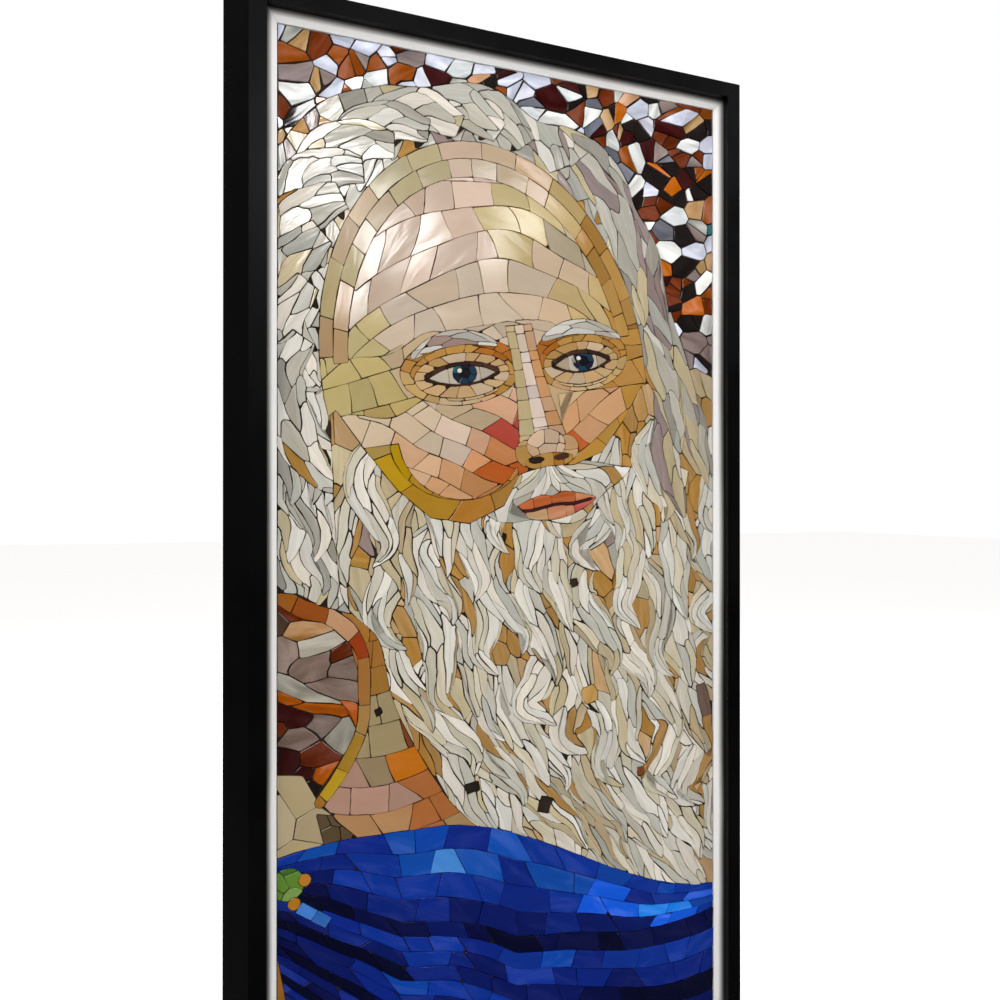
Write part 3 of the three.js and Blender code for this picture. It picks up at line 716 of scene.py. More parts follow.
far_marks = [(3.8, -1.9, (0.66, 0.52, 0.32)), (5.2, -2.2, (0.68, 0.40, 0.22)),
             (4.2, -3.2, (0.68, 0.40, 0.22)), (3.4, -4.6, (0.56, 0.14, 0.04)),
             (4.8, -4.2, (0.52, 0.30, 0.06)), (6.2, -3.0, (0.54, 0.30, 0.06))]


def jaw_shape(p, q):
    return (p < 0.4) & (q < -3.0) & (np.hypot((p + 1.9) / 2.9, (q + 3.0) / 3.3) > 1)


def jaw_cut(p, q):
    turn, out = np.arctan2(q + 3.0, p + 1.9), np.hypot(p + 1.9, q + 3.0)
    return in_courses(turn * 1.9, out / 1.25 + 0.35, 0.5, 0.5)


def slanting(angle, length, width, centre_p, centre_q):
    def cut(p, q):
        u, v = turned(angle, p, q, centre_p, centre_q)
        return in_courses((u + 0.3 * wander(p, q, 1.6, 2)) / length,
                          (v + 0.35 * wander(p, q, 1.9, 6)) / width, 0.5, 0.5)

    return cut


lay_on_face(lambda p, q: (p < 0.9) & (q < -0.8 + 0.12 * p + 0.3 * np.sin(1.6 * p)),
            slanting(-0.62, 1.3, 0.98, -1, -3), by_place(0.3, cheek_marks, head_axes), FACE_JOINT)
lay_on_face(jaw_shape, jaw_cut, by_place(0.25, jaw_marks, head_axes), FACE_JOINT)
lay_on_face(lambda p, q: (p > 2.9) & (q < -1.5), slanting(0.5, 1.4, 1.05, 4, -3),
            by_place(0.4, far_marks, head_axes), FACE_JOINT)

# Eyes, brows and nose: small nipped pieces of dark, white and blue glass make each eye, in rings of ochre
# under a brow of pale slivers. The nose is three strips of light and shade that end in its round tip.
DARK_LINE = any_of((3, (0.035, 0.018, 0.014)), (2, (0.07, 0.03, 0.02)))


def one_piece(x, z):
    return np.ones(x.shape, np.int64)


EYES = ((-1.5, 1.55, 1), (4.3, 1.35, -1))  # the middle, the half width and the side of the inner corner
IRIS, PUPIL, GLINT = 0.56, 0.27, 0.12  # their radii
IRIS_SECTOR = math.pi / 3
for eye, half, inner in EYES:
    near, far = eye + inner * half * 1.2, eye - inner * half * 1.4

    def socket_cut(p, q):
        turn = np.arctan2(q / 0.8, (p - eye) / half)
        return in_courses(turn * half * 1.9, np.hypot((p - eye) / half, (q - 0.1) / 0.9) * 2.6, 0.5, 0.3)

    socket_marks = [(near, 0.9, (0.46, 0.16, 0.02)), (near, -0.4, (0.52, 0.30, 0.08)),
                    (eye, 1.3, (0.52, 0.30, 0.08)), (far, 0.7, (0.50, 0.27, 0.07)),
                    (far, -0.4, (0.60, 0.42, 0.18)), (eye, -1.2, (0.60, 0.48, 0.30)),
                    (near, -1.3, (0.64, 0.42, 0.24))]
    lay_on_face(lambda p, q: np.hypot((p - eye) / (half * 1.8), (q - 0.25) / 1.75) < 1, socket_cut,
                by_place(0.3, socket_marks, head_axes), 0.4)

    def lid_cut(p, q):
        return in_courses(np.arctan2(q / 0.8, (p - eye) / half) * half / 0.68, (q > 0) * 1.0, 0.4, 0.3)

    lay_on_face(lambda p, q: np.hypot((p - eye) / half, q / 0.8) < 1.42, lid_cut,
                any_of((3, (0.62, 0.44, 0.24)), (2, (0.66, 0.52, 0.38)), (1, (0.52, 0.32, 0.12))), 0.35)

    def opening(p, q, grow):
        share = np.clip(1 - ((p - eye) / (half * (1 + 0.12 * grow))) ** 2, 0, 1)
        return (share > 0) & (q < 0.50 * share + grow * 0.2) & (q > -0.44 * share - grow * 0.09)

    lay_on_face(lambda p, q: opening(p, q, 1),
                lambda p, q: in_courses((p - eye) / 0.8 + 0.2, (q > 0) * 1.0, 0.4, 0.3), DARK_LINE, 0.25)
    lay_on_face(lambda p, q: opening(p, q, 0),
                lambda p, q: in_courses((p - eye) / 1.2 + 0.5, 0 * q, 0.3, 0.2),
                any_of((2, (0.58, 0.55, 0.50)), (1, (0.44, 0.38, 0.32))), 0.25)

    def iris_cut(p, q):
        turn = np.arctan2(q - 0.08, p - eye - 0.1)
        return np.floor(turn / IRIS_SECTOR + 6.2).astype(np.int64)

    lay_on_face(lambda p, q: opening(p, q, 0) & (np.hypot(p - eye - 0.1, q - 0.1) < IRIS), iris_cut,
                any_of((1.5, (0.015, 0.05, 0.10)), (1.2, (0.02, 0.13, 0.17)), (2, (0.015, 0.015, 0.05))),
                0.2)
    lay_on_face(lambda p, q: np.hypot(p - eye - 0.1, q - 0.1) < PUPIL, one_piece,
                any_of((1, (0.008, 0.008, 0.012))), 0.15)
    lay_on_face(lambda p, q: np.hypot(p - eye + 0.12, q - 0.26) < GLINT, one_piece,
                any_of((1, (0.85, 0.86, 0.88))), 0.08)

    def bow(p):
        t = (p - eye) * inner
        return 1.95 - 0.16 * (t + 0.3) ** 2 + 0.1 * t

    def brow_shape(p, q):
        share = np.clip(1 - ((p - eye + inner * 0.2) / 2.0) ** 2, 0, 1)
        return (share > 0) & (abs(q - bow(p)) < 0.34 * np.sqrt(share) + 0.06)

    def brow_cut(p, q):
        return scattered((p - eye + q * 0.5) / 1.5, (q - bow(p) + 0.3) / 0.32, 0.4, 1.5)

    lay_on_face(brow_shape, brow_cut,
                any_of((3, (0.72, 0.74, 0.74)), (2, (0.55, 0.55, 0.54)), (0.6, (0.34, 0.26, 0.25))), 0.3)


def nose_line(q):
    return 1.5 + 0.4 * (1.5 - q) / 6


def nose_half(q):
    return 0.52 + 0.55 * np.clip((1 - q) / 5.6, 0, 1) ** 1.6


def nose_strip(p, q):
    return np.floor((p - nose_line(q)) / (nose_half(q) * 0.84) + 1.5)


def nose_glasses(x, z, roll):
    p, q = head_axes(x, z)
    light, dark = [((0.58, 0.50, 0.30), (0.52, 0.44, 0.28)), ((0.78, 0.70, 0.68), (0.72, 0.62, 0.54)),
                   ((0.62, 0.34, 0.16), (0.60, 0.40, 0.26))][int(np.clip(nose_strip(p, q), 0, 2))]
    return light if roll[0] > 0.35 else dark


lay_on_face(lambda p, q: (q < 2.3) & (q > -4.9) & (abs(p - nose_line(q)) < nose_half(q) * 1.25),
            lambda p, q: in_courses(q / 0.85 + 0.37 * nose_strip(p, q), nose_strip(p, q), 0.5, 0.3),
            nose_glasses, 0.38)
lay_on_face(lambda p, q: np.hypot((abs(p - 1.97) - 1.02) / 0.55, (q + 4.4) / 0.7) < 1,
            lambda p, q: in_courses(q / 0.8, (p > 2) * 1.0, 0.3, 0.2),
            any_of((2, (0.60, 0.40, 0.22)), (1, (0.54, 0.32, 0.10))), 0.35)
lay_on_face(lambda p, q: np.hypot((p - 1.95) / 0.95, (q + 4.1) / 0.85) < 1,
            lambda p, q: scattered((p - 1.5) / 0.8, q / 0.75, 0.5, 1.0),
            any_of((2, (0.68, 0.54, 0.42)), (1, (0.62, 0.44, 0.30))), 0.35)
lay_on_face(lambda p, q: np.hypot((p - 2.0) / 1.2, (q + 4.95) / 0.42) < 1,
            lambda p, q: in_courses(p / 0.7, 0 * p, 0.3, 0.2),
            any_of((2, (0.52, 0.30, 0.08)), (1, (0.46, 0.20, 0.03))), 0.3)
lay_on_face(lambda p, q: np.hypot((abs(p - 2.0) - 0.62) / 0.4, (q + 4.82) / 0.17) < 1,
            lambda p, q: (p > 2) * 1, DARK_LINE, 0.2)
glasswork.append(("face_pieces", ["face"], ["face_glass"], "skin_glass", plain_glass))

# Beard: wavy locks of narrow white and cream pieces of the hair's streaky glass. They are laid in rows from
# the lowest up, over honey and drift brown pieces that show between them.
beard_edge = rounded([from_head(-7.5, -1.2), from_head(-7.6, -2.6), (-9.3, 2.2), (-8.9, -1.3), (-7.2, -3.3),
                      (-6.4, -6.6), (-4.4, -10.4), (-2.7, -12.6), (0, -14.6), (4.6, -17), (12, -20),
                      (16, -20)])
cheek_line = [from_head(p, q) for p, q in [(10.4, -1.0), (7.3, -1.6), (6.2, -3.2), (4.7, -4.9),
                                           (3.2, -5.35), (1.9, -5.2), (0.5, -5.4), (-0.5, -6.9),
                                           (-2.2, -7.5), (-3.9, -6.9), (-5.2, -5.2), (-6.3, -3.0),
                                           (-7.2, -1.0)]]
BEARD_LEFT = np.array([[-20, 5.5], [-17, 0.6], [-14.6, -2.2], [-12.6, -4.2], [-10.4, -5.8], [-6.6, -7.6],
                       [-3.3, -8.6], [-1.3, -9.6], [1.4, -9.6], [4.5, -9.0], [8, -8.4]]).T
BEARD_RIGHT = np.array([[-20, 17.0], [-10, 16.0], [-4, 14.6], [2, 13.6], [8, 13.0]]).T


def beard_place(share, z):
    """A point of the beard, at a share of its breadth and a height."""
    left, right = np.interp(z, *BEARD_LEFT), np.interp(z, *BEARD_RIGHT)
    return float(left + share * (right - left)), z


beard = inside(np.vstack([beard_edge, [(16, 9)], cheek_line]))
CREAM_WHITE, HONEY, DRIFT = (0.66, 0.64, 0.54), (0.44, 0.26, 0.09), (0.52, 0.44, 0.30)
BEARD_LOCK = lock_glasses([(7, SNOW), (3, SILVER), (1.5, CREAM_WHITE)],
                          [(1.5, SILVER), (2, CREAM_WHITE), (1, OAT)], [(1.5, DRIFT), (1, OAT), (3, HONEY)])
DIM_LOCK = lock_glasses([(3, SILVER), (2, CREAM_WHITE), (3, SNOW)], [(1.5, ASH), (2, OAT), (1.5, DRIFT)],
                        [(2, DRIFT), (4, HONEY)])


def under_beard_cut(x, z):
    u, v = turned(0.35, x, z)
    return scattered(u + 0.3 * wander(x, z, 2, 3), v / 1.8, 0.8, 1.0)


lay("beard", beard, under_beard_cut, any_of((5, HONEY), (3, DRIFT), (2, (0.60, 0.40, 0.22)), (1, OAT),
                                            (0.6, ASH), (2, BRONZE), (0.4, MAUVE)), 0.6)
# Locks in rows from the lowest up, so that each hangs over the ones below it
LOWEST_ROW, ABOVE_ROWS, ROWS_APART = -15.6, 7.2, 2.3
LOCKS_APART = 0.142  # as a share of the beard's breadth
for row, from_z in enumerate(np.arange(LOWEST_ROW, ABOVE_ROWS, ROWS_APART)):
    for place in np.arange(0.02 + 0.07 * (row % 2), 0.98, LOCKS_APART):
        share, top = place + jitter(0.018), from_z + 1.2 + 1.6 * place + jitter(0.5)
        bend = 0.045 * math.sin(top * 0.62 + place * 9.0) + 0.02 * jitter(1)
        reach = 6.0 + jitter(0.9)
        line = [beard_place(share, top), beard_place(share + bend, top - 0.28 * reach),
                beard_place(share + 0.4 * bend, top - 0.55 * reach),
                beard_place(share - 0.5 * bend, top - 0.8 * reach),
                beard_place(share + 0.3 * bend + 0.01, top - reach)]
        lock("beard", beard, line, 1.04 + jitter(0.25), 5, BEARD_LOCK if jitter(1) > -0.5 else DIM_LOCK,
             3.3, 0.75, 0.4, 0.8)
glasswork.append(("beard_pieces", ["beard"], ["beard_glass"], "beard_glass", streaky_glass))

# The far side of the hair: broader and smoother locks in grey and mauve, hanging from behind the forehead.
# They lie over the upper right edge of the beard and are set with the rest of the hair.
beside_face = hair & where(lambda x, z: about_head(x, z)[1] > 1, 0, 12, 2, 26)
for line, half, strands in [([(9.4, 13.8), (10.6, 10.6), (10.9, 7.4), (12.1, 4.0)], 0.9, 3),
                            ([(8.4, 11.6), (9.2, 8.8), (8.9, 6.0), (10.2, 2.6)], 1.0, 3),
                            ([(7.9, 17.6), (8.8, 14.6), (9.4, 11.6), (11.0, 7.8)], 1.1, 3),
                            ([(7.2, 14.8), (8.0, 12.0), (9.2, 9.4), (9.9, 6.2)], 1.0, 3),
                            ([(5.6, 20.8), (7.2, 18.4), (7.6, 15.6), (9.2, 12.0)], 1.15, 3),
                            ([(3.6, 21.9), (5.6, 19.6), (6.7, 16.8), (7.6, 13.2)], 1.0, 3),
                            ([(2.6, 23.9), (5.2, 22.6), (7.0, 20.4), (7.7, 17.8)], 0.8, 2)]:
    lock("hair", beside_face, line, half, strands, FAR_LOCK, 3.4, 0.5, 0.7, 0.6)

# Moustache and lips: white pieces fan out from under the nose to both sides, over two rows of red and
# salmon pieces with a dark line between them. They are set with the beard.
LIPS_P, LIPS_Q, LIPS_DOWN = 1.9, 4.6, 2.75  # the root of the moustache on the head, and the lips below it


def lip_axes(x, z):
    p, q = head_axes(x, z)
    return p - LIPS_P, q + LIPS_Q


def whisker(x, z):
    p, q = lip_axes(x, z)
    return np.arctan2(p, -q), np.hypot(p, q * 1.15)


def whisker_shape(x, z):
    turn, reach = whisker(x, z)
    p, q = lip_axes(x, z)
    return (reach < 4.2 + 0.3 * np.sin(turn * 6)) & (q < -0.4 + 0.06 * p**2) & (abs(turn) < 1.25)


def whisker_cut(x, z):
    turn, reach = whisker(x, z)
    return scattered(reach / 2.2 + 0.3, (turn + 0.1 * np.sin(reach * 1.6) * np.sign(turn)) * 6.5, 0.7, 1.6)


lay("beard", beard & where(whisker_shape, -7, 9, -4, 8), whisker_cut,
    any_of((4, SNOW), (3, SILVER), (2, CREAM_WHITE), (1.4, OAT), (1, ASH), (0.5, HONEY)), 0.45)


def lip_row(p, q):
    line = 0.05 * np.cos(p * 3) + 0.02
    return np.where(q > line + 0.07, 0, np.where(q < line - 0.09, 2, 1))


def lips_shape(x, z):
    p, q = lip_axes(x, z)
    q = q + LIPS_DOWN
    share = 1 - (p / 2.15) ** 2
    bow_dip = 1 - 0.28 * np.exp(-((p / 0.35) ** 2))
    return (share > 0) & (q < 0.62 * share * bow_dip + 0.1) & (q > -0.72 * share)


def lips_cut(x, z):
    p, q = lip_axes(x, z)
    row = lip_row(p, q + LIPS_DOWN)
    return in_courses(p / 0.85 + 0.3 * row, row + 0.0 * p, 0.5, 0.4)


def lips_glasses(x, z, roll):
    p, q = lip_axes(x, z)
    upper = [(2, (0.52, 0.14, 0.05)), (1, (0.60, 0.16, 0.14)), (1, (0.62, 0.26, 0.14))]
    parting = [(1, (0.05, 0.015, 0.015))]
    lower = [(2, (0.62, 0.14, 0.14)), (2, (0.62, 0.28, 0.16)), (1, (0.64, 0.42, 0.24))]
    return any_of(*(upper, parting, lower)[int(lip_row(p, q + LIPS_DOWN))])(x, z, roll)


lay("beard", where(lips_shape, -6, 8, -2, 6), lips_cut, lips_glasses, 0.3)

# Robe: ultramarine and navy pieces in courses along folds that hang from the brooch, lighter at their
# crests, with a few azure ones at the right. Its blue sheet is a little duller than the other glass.
def robe_top(x):
    return -12.8 - 5.5 * ramp(x, -4.5, 12) - 0.03 * np.clip(-8 - x, 0, 9) ** 2


FIRST_FOLD = np.array([[-12, 1.5], [-10.6, 2.2], [-6.1, 4.5], [0, 5.3], [6, 3.4], [12.1, 1.3]]).T
NEXT_FOLD = np.array([[-12, 1.2], [-9, 1.8], [-5.3, 2.2], [0, 2.6], [6, 3.0], [12, 3.6]]).T


ACCENT_X, ACCENT_Z, ACCENT_RADIUS = -3.8, -14.7, 0.8  # of the one light blue piece near the neck
BLUES = [(0.0003, 0.0012, 0.022), (0.0004, 0.003, 0.06), (0.0004, 0.008, 0.13), (0.0005, 0.017, 0.23),
         (0.0006, 0.032, 0.33), (0.001, 0.058, 0.42)]
AZURES = [(0.005, 0.11, 0.80), (0.03, 0.25, 0.90), (0.22, 0.34, 0.60)]


def fold(x, z):
    """How many folds below the robe's upper edge a point is; the folds fan out from the brooch and sag."""
    first, later = np.interp(x, *FIRST_FOLD), np.interp(x, *NEXT_FOLD)
    depth = robe_top(x) - z + 0.12 * wander(x, z, 2.2, 6)
    return np.where(depth < first, depth / first, 1 + (depth - first) / later)


def robe_cut(x, z):
    down = fold(x, z)
    course = down * np.where(down < 1, 4, 3) + (down >= 1)
    return in_courses((x + 0.15 * z) / 1.8 + 0.3 * np.floor(course), course, 0.55, 0.4)


def robe_glasses(x, z, roll):
    down = fold(x, z)
    shade = (0.5 + 0.5 * math.cos((down - 1.08) * 2 * math.pi)) ** 2 * float(ramp(down, 0.3, 0.9))
    patch = float(wander(np.array(x), np.array(z), 2.6, 7))
    light = 0.75 - 0.6 * shade + 0.28 * (roll[0] - 0.5) + 0.25 * patch
    light = light - 0.15 * float(ramp(-x, 6, 12)) - 0.25 * float(ramp(-z, 21, 26))
    if math.hypot(x - ACCENT_X, z - ACCENT_Z) < ACCENT_RADIUS:
        return (0.06, 0.26, 0.70)
    if down < 0.6 and roll[2] < 0.25:
        return (0.006, 0.075, 0.42)
    if x > 3 and 0.25 < down < 0.95 and roll[2] < 0.4:
        return AZURES[int(roll[2] < 0.12) + int(roll[2] < 0.05)]
    return BLUES[int(np.clip(light * 6, 0, 5))]


lay("robe", where(lambda x, z: z < robe_top(x), high_z=-12), robe_cut, robe_glasses, 0.3)
blue_glass = glass_material("blue_glass", 0.6, 45.0, 0.0012, 0.22, 1.36)
glasswork.append(("robe_pieces", ["robe"], ["robe_glass"], "robe_glass", blue_glass))

# Lining: the robe's orange-brown inside, one column of plain pieces down the lower left edge, laid over
# the robe's courses.
def lining_cut(x, z):
    return in_courses(z / 2.6, 0 * z, 0.3, 0.2)


lay("lining", inside([(-14, -14), (-12.2, -16.6), (-11.4, -21), (-10.8, -27), (-14, -27)]), lining_cut,
    any_of((1, (0.45, 0.20, 0.03)), (1, (0.52, 0.26, 0.05))))
glasswork.append(("lining_pieces", ["lining"], ["lining_glass"], "lining_glass", plain_glass))

# Brooch: a small round of green pieces at the shoulder with two gold beads at its side. Its pin is a strip
# of light blue pieces that lies across the robe below it and is set with the robe.
BROOCH_X, BROOCH_Z, BROOCH_RADIUS, BEAD_RADIUS = -11.5, -14.55, 0.78, 0.3
LEAF, MOSS, BEAD = (0.13, 0.32, 0.04), (0.07, 0.20, 0.03), (0.55, 0.24, 0.015)
lay("brooch", where(lambda x, z: np.hypot(x - BROOCH_X, z - BROOCH_Z) < BROOCH_RADIUS, high_z=-12),
    lambda x, z: scattered(x / 0.62, z / 0.62 + 0.3, 0.6),
    any_of((2, LEAF), (1, MOSS), (1, (0.22, 0.40, 0.10))), 0.35)
for bead_x, bead_z in ((-10.72, -14.45), (-11.2, -15.5)):
    lay("brooch", where(lambda x, z: np.hypot(x - bead_x, z - bead_z) < BEAD_RADIUS, -12, -10, -17, -13),
        one_piece, any_of((1, BEAD)), 0.25)


def pin_axes(x, z):
    return turned(0.95, x, z, -10.3, -16.2)


def pin_shape(x, z):
    across, up = pin_axes(x, z)
    return (abs(across) < 0.28) & (abs(up) < 0.85)


def pin_cut(x, z):
    return in_courses(pin_axes(x, z)[1] / 0.9, 0 * x, 0.3, 0.2)


lay("robe", where(pin_shape, -12, -9, -18, -14), pin_cut,
    any_of((1, (0.03, 0.14, 0.50)), (1, (0.05, 0.20, 0.60))), 0.3)
glasswork.append(("brooch_pieces", ["brooch"], ["brooch_glass"], "brooch_glass", plain_glass))

# Odd pieces: three in the beard, brown, rust and honey, that are of another glass than those round them.
# Each is a single small block, set on the slant.
ODD_PIECES = [(11.4, -7.8, 0.8, 1.9, 0.25, (0.16, 0.11, 0.10)),
              (7.3, -11.4, 0.45, 0.5, 0.1, (0.20, 0.06, 0.02)),
              (4.2, -6.9, 1.0, 0.9, 0.3, (0.58, 0.36, 0.12))]
for odd_x, odd_z, wide, tall, lean, glass in ODD_PIECES:

    def odd_shape(x, z):
        across, up = turned(lean, x, z, odd_x, odd_z)
        return (abs(across) / wide + 0.25 * abs(up) / tall < 0.5) & (abs(up) < tall / 2)

    lay("beard", where(odd_shape, odd_x - 2, odd_x + 2, odd_z - 2, odd_z + 2), one_piece,
        any_of((1, glass)), 0.45)

# Gaps: five small places in the neck and the beard where a piece was never set or has dropped out. The
# dark bed shows there.
GAPS = [(3.3, -0.85, 0.45, 0.42, 0.3), (1.6, -12.5, 0.7, 0.85, -0.3), (-2.4, -11.1, 0.75, 0.5, 0.2),
        (-7.22, -6.8, 0.34, 0.34, 0.4), (-5.9, -9.2, 0.3, 0.34, 0.1)]
for gap_x, gap_z, wide, tall, lean in GAPS:

    def gap_shape(x, z):
        across, up = turned(lean, x, z, gap_x, gap_z)
        return (abs(across) < wide / 2) & (abs(up) < tall / 2)

    bare = where(gap_shape, gap_x - 1, gap_x + 1, gap_z - 1, gap_z + 1)
    area_number[bare] = 0
    cut_number[bare] = 0

# Cutting: the sheet glass is scored and snapped to the drawing. Each patch of an area is one piece, with
# short straight cuts and its sharp points nipped off, and is drawn in unevenly by its side of the joint.
LEAST_PIECE = 0.10  # in squares of area; what is less goes to its neighbour
FINE_JOINT = 0.3  # in mm; areas with a finer one keep their smallest pieces
SLIVER_ROUNDS = 30


def numbered(cut):
    """Gives every patch that hangs together its own number."""
    new = np.ones(cut.shape, bool)
    new[:, 1:] = cut[:, 1:] != cut[:, :-1]
    run = (new.ravel().cumsum() - 1).reshape(cut.shape)
    same = cut[1:] == cut[:-1]
    below, above = np.unique(np.stack([run[1:][same], run[:-1][same]]), axis=1)
    number = np.arange(run.max() + 1)
    while True:
        lowest = np.minimum(number[below], number[above])
        joined = number.copy()
        np.minimum.at(joined, below, lowest)
        np.minimum.at(joined, above, lowest)
        joined = joined[joined]
        if (joined == number).all():
            return np.unique(number[run], return_inverse=True)[1].reshape(cut.shape)
        number = joined


piece_number = numbered(cut_number)
fine = np.isin(area_number, [n + 1 for n, (_, _, joint) in enumerate(areas) if joint < FINE_JOINT])
piece_size = np.bincount(piece_number.ravel()) * STEP * STEP
sliver = (piece_size < LEAST_PIECE)[piece_number] & (area_number > 0) & ~fine
for _ in range(SLIVER_ROUNDS):
    for axis, way in ((0, 1), (0, -1), (1, 1), (1, -1)):
        taken = sliver & ~np.roll(sliver, way, axis) & (np.roll(area_number, way, axis) == area_number)
        piece_number[taken] = np.roll(piece_number, way, axis)[taken]
        sliver[taken] = False
piece_number = numbered(piece_number)


def piece_outlines(number):
    """The outline of every piece, along the lines between the points of the drawing, anticlockwise."""
    padded = np.pad(number + 1, 1)
    r, c = np.nonzero(padded[:-1] != padded[1:])
    r2, c2 = np.nonzero(padded[:, :-1] != padded[:, 1:])
    wide = padded.shape[1]
    owner = np.concatenate([padded[:-1][r, c], padded[1:][r, c], padded[:, :-1][r2, c2],
                            padded[:, 1:][r2, c2]])
    start = np.concatenate([r * wide + c - 1, r * wide + c, r2 * wide + c2, (r2 - 1) * wide + c2])
    end = np.concatenate([r * wide + c, r * wide + c - 1, (r2 - 1) * wide + c2, r2 * wide + c2])
    order = np.argsort(owner, kind="stable")
    owner, start, end = owner[order], start[order], end[order]
    first = np.searchsorted(owner, np.arange(1, owner.max() + 2))
    found = []
    for n in range(len(first) - 1):
        ways = {}
        for a, b in zip(start[first[n] : first[n + 1]].tolist(), end[first[n] : first[n + 1]].tolist()):
            ways.setdefault(a, []).append(b)
        longest = []
        while ways:
            at = begin = next(iter(ways))
            loop = []
            while at in ways:
                loop.append(at)
                to = ways[at].pop()
                if not ways[at]:
                    del ways[at]
                at = to
                if at == begin:
                    break
            longest = max(longest, loop, key=len)
        at = np.array(longest)
        found.append(np.stack([(at % wide) * STEP - HALF_WIDTH, HALF_HEIGHT - (at // wide) * STEP], 1))
    return found


def straightened(line, slack):
    """Leaves out the points of a line that lie within slack of it."""
    keep = np.zeros(len(line), bool)
    keep[[0, -1]] = True
    parts = [(0, len(line) - 1)]
    while parts:
        a, b = parts.pop()
        if b > a + 1:
            chord, rel = line[b] - line[a], line[a + 1 : b] - line[a]
            off = abs(rel[:, 0] * chord[1] - rel[:, 1] * chord[0]) / max(math.hypot(*chord), 1e-9)
            k = int(off.argmax())
            if off[k] > slack:
                keep[a + 1 + k] = True
                parts += [(a, a + 1 + k), (a + 1 + k, b)]
    return line[keep]


def cut_line(loop, slack):
    """The cutter's line along an outline: short straight cuts."""
    line = (loop + np.roll(loop, -1, axis=0)) / 2
    for _ in range(2):
        line = (np.roll(line, 1, axis=0) + 2 * line + np.roll(line, -1, axis=0)) / 4
    line = np.roll(line, -int(np.hypot(*(line - line.mean(0)).T).argmax()), axis=0)
    opposite = int(np.hypot(*(line - line[0]).T).argmax())
    there = straightened(line[: opposite + 1], slack)
    back = straightened(np.vstack([line[opposite:], line[:1]]), slack)
    return np.vstack([there[:-1], back[:-1]])


def size_of(outline):
    x, z = outline.T
    return 0.5 * float(np.dot(x, np.roll(z, -1)) - np.dot(z, np.roll(x, -1)))


def drawn_in(outline, by):
    """The outline moved in by a distance all round."""
    before, after = outline - np.roll(outline, 1, axis=0), np.roll(outline, -1, axis=0) - outline
    before /= np.maximum(np.hypot(*before.T), 1e-9)[:, None]
    after /= np.maximum(np.hypot(*after.T), 1e-9)[:, None]
    inward = np.stack([-(before + after)[:, 1], (before + after)[:, 0]], 1)
    inward /= np.maximum(np.hypot(*inward.T), 1e-9)[:, None]
    slant = np.maximum(inward[:, 1] * after[:, 0] - inward[:, 0] * after[:, 1], 0.4)
    return outline + inward * (by / slant)[:, None]


SHARP, NIPPED = 0.62, 0.26  # the cosine past which a corner is nipped off, and how far back
UNEVEN, LEAST_SHARE = 0.7, 0.35  # how much a joint varies round a piece, and its least share


def hand_cut(outline, by, roll):
    """The outline drawn in by a distance that varies from corner to corner, its sharp points nipped off."""
    before, after = np.roll(outline, 1, axis=0) - outline, np.roll(outline, -1, axis=0) - outline
    b, a = np.hypot(*before.T), np.hypot(*after.T)
    sharp = (before * after).sum(1) / (b * a) > SHARP
    nipped = []
    for k, point in enumerate(outline):
        if sharp[k]:
            back = min(NIPPED, 0.4 * b[k], 0.4 * a[k])
            nipped += [point + before[k] / b[k] * back, point + after[k] / a[k] * back]
        else:
            nipped.append(point)
    nipped = np.array(nipped)
    turn = np.arctan2(nipped[:, 1] - nipped[:, 1].mean(), nipped[:, 0] - nipped[:, 0].mean())
    varied = 1 + UNEVEN * (np.sin(turn + 6.3 * roll[4]) + 0.7 * np.sin(2 * turn + 6.3 * roll[5]))
    return drawn_in(nipped, by * np.maximum(varied, LEAST_SHARE))


def crossed(outline):
    """Whether any two sides of an outline cross."""
    a, b = outline, np.roll(outline, -1, axis=0)
    along = b - a

    def side(points):
        rel = points[None] - a[:, None]
        return along[:, None, 0] * rel[..., 1] - along[:, None, 1] * rel[..., 0] > 0

    apart = side(a) != side(b)
    both = apart & apart.T
    n = len(outline)
    steps_apart = abs(np.subtract.outer(np.arange(n), np.arange(n)))
    neighbours = (steps_apart <= 1) | (steps_apart == n - 1)
    return bool((both & ~neighbours).any())


SLACK = 0.018  # how far a straight cut may stray from the drawing, in squares
LEAST_POINTS = 8  # of the drawing's points round a piece that can be cut
JOINT_TRIES = (1, 0.6, 0.3)  # shares of the joint, tried until the sides of the piece don't cross
LEAST_LEFT, LEAST_FINE = 0.05, 0.004  # in squares of area; smaller scraps are left out, and show as gaps
COARSE_JOINT = 0.4  # in mm; with a finer one the smaller scraps stay
TONES, WARMTH = 0.24, 0.07  # how much single pieces differ
first_point = np.unique(piece_number.ravel(), return_index=True)[1]
piece_area = area_number.ravel()[first_point]
spots = np.bincount(piece_number.ravel())
every_x, every_z = np.meshgrid(point_x, point_z)
middle_x = np.bincount(piece_number.ravel(), every_x.ravel()) / spots
middle_z = np.bincount(piece_number.ravel(), every_z.ravel()) / spots
cutter_roll = np.random.default_rng(11).random((len(spots), 8))
WARM_ROOM_LIGHT_TONE = (0.84, 0.775, 0.69)  # a painted warm cast of the room's light, on the glass of every zone that has no tone of its own
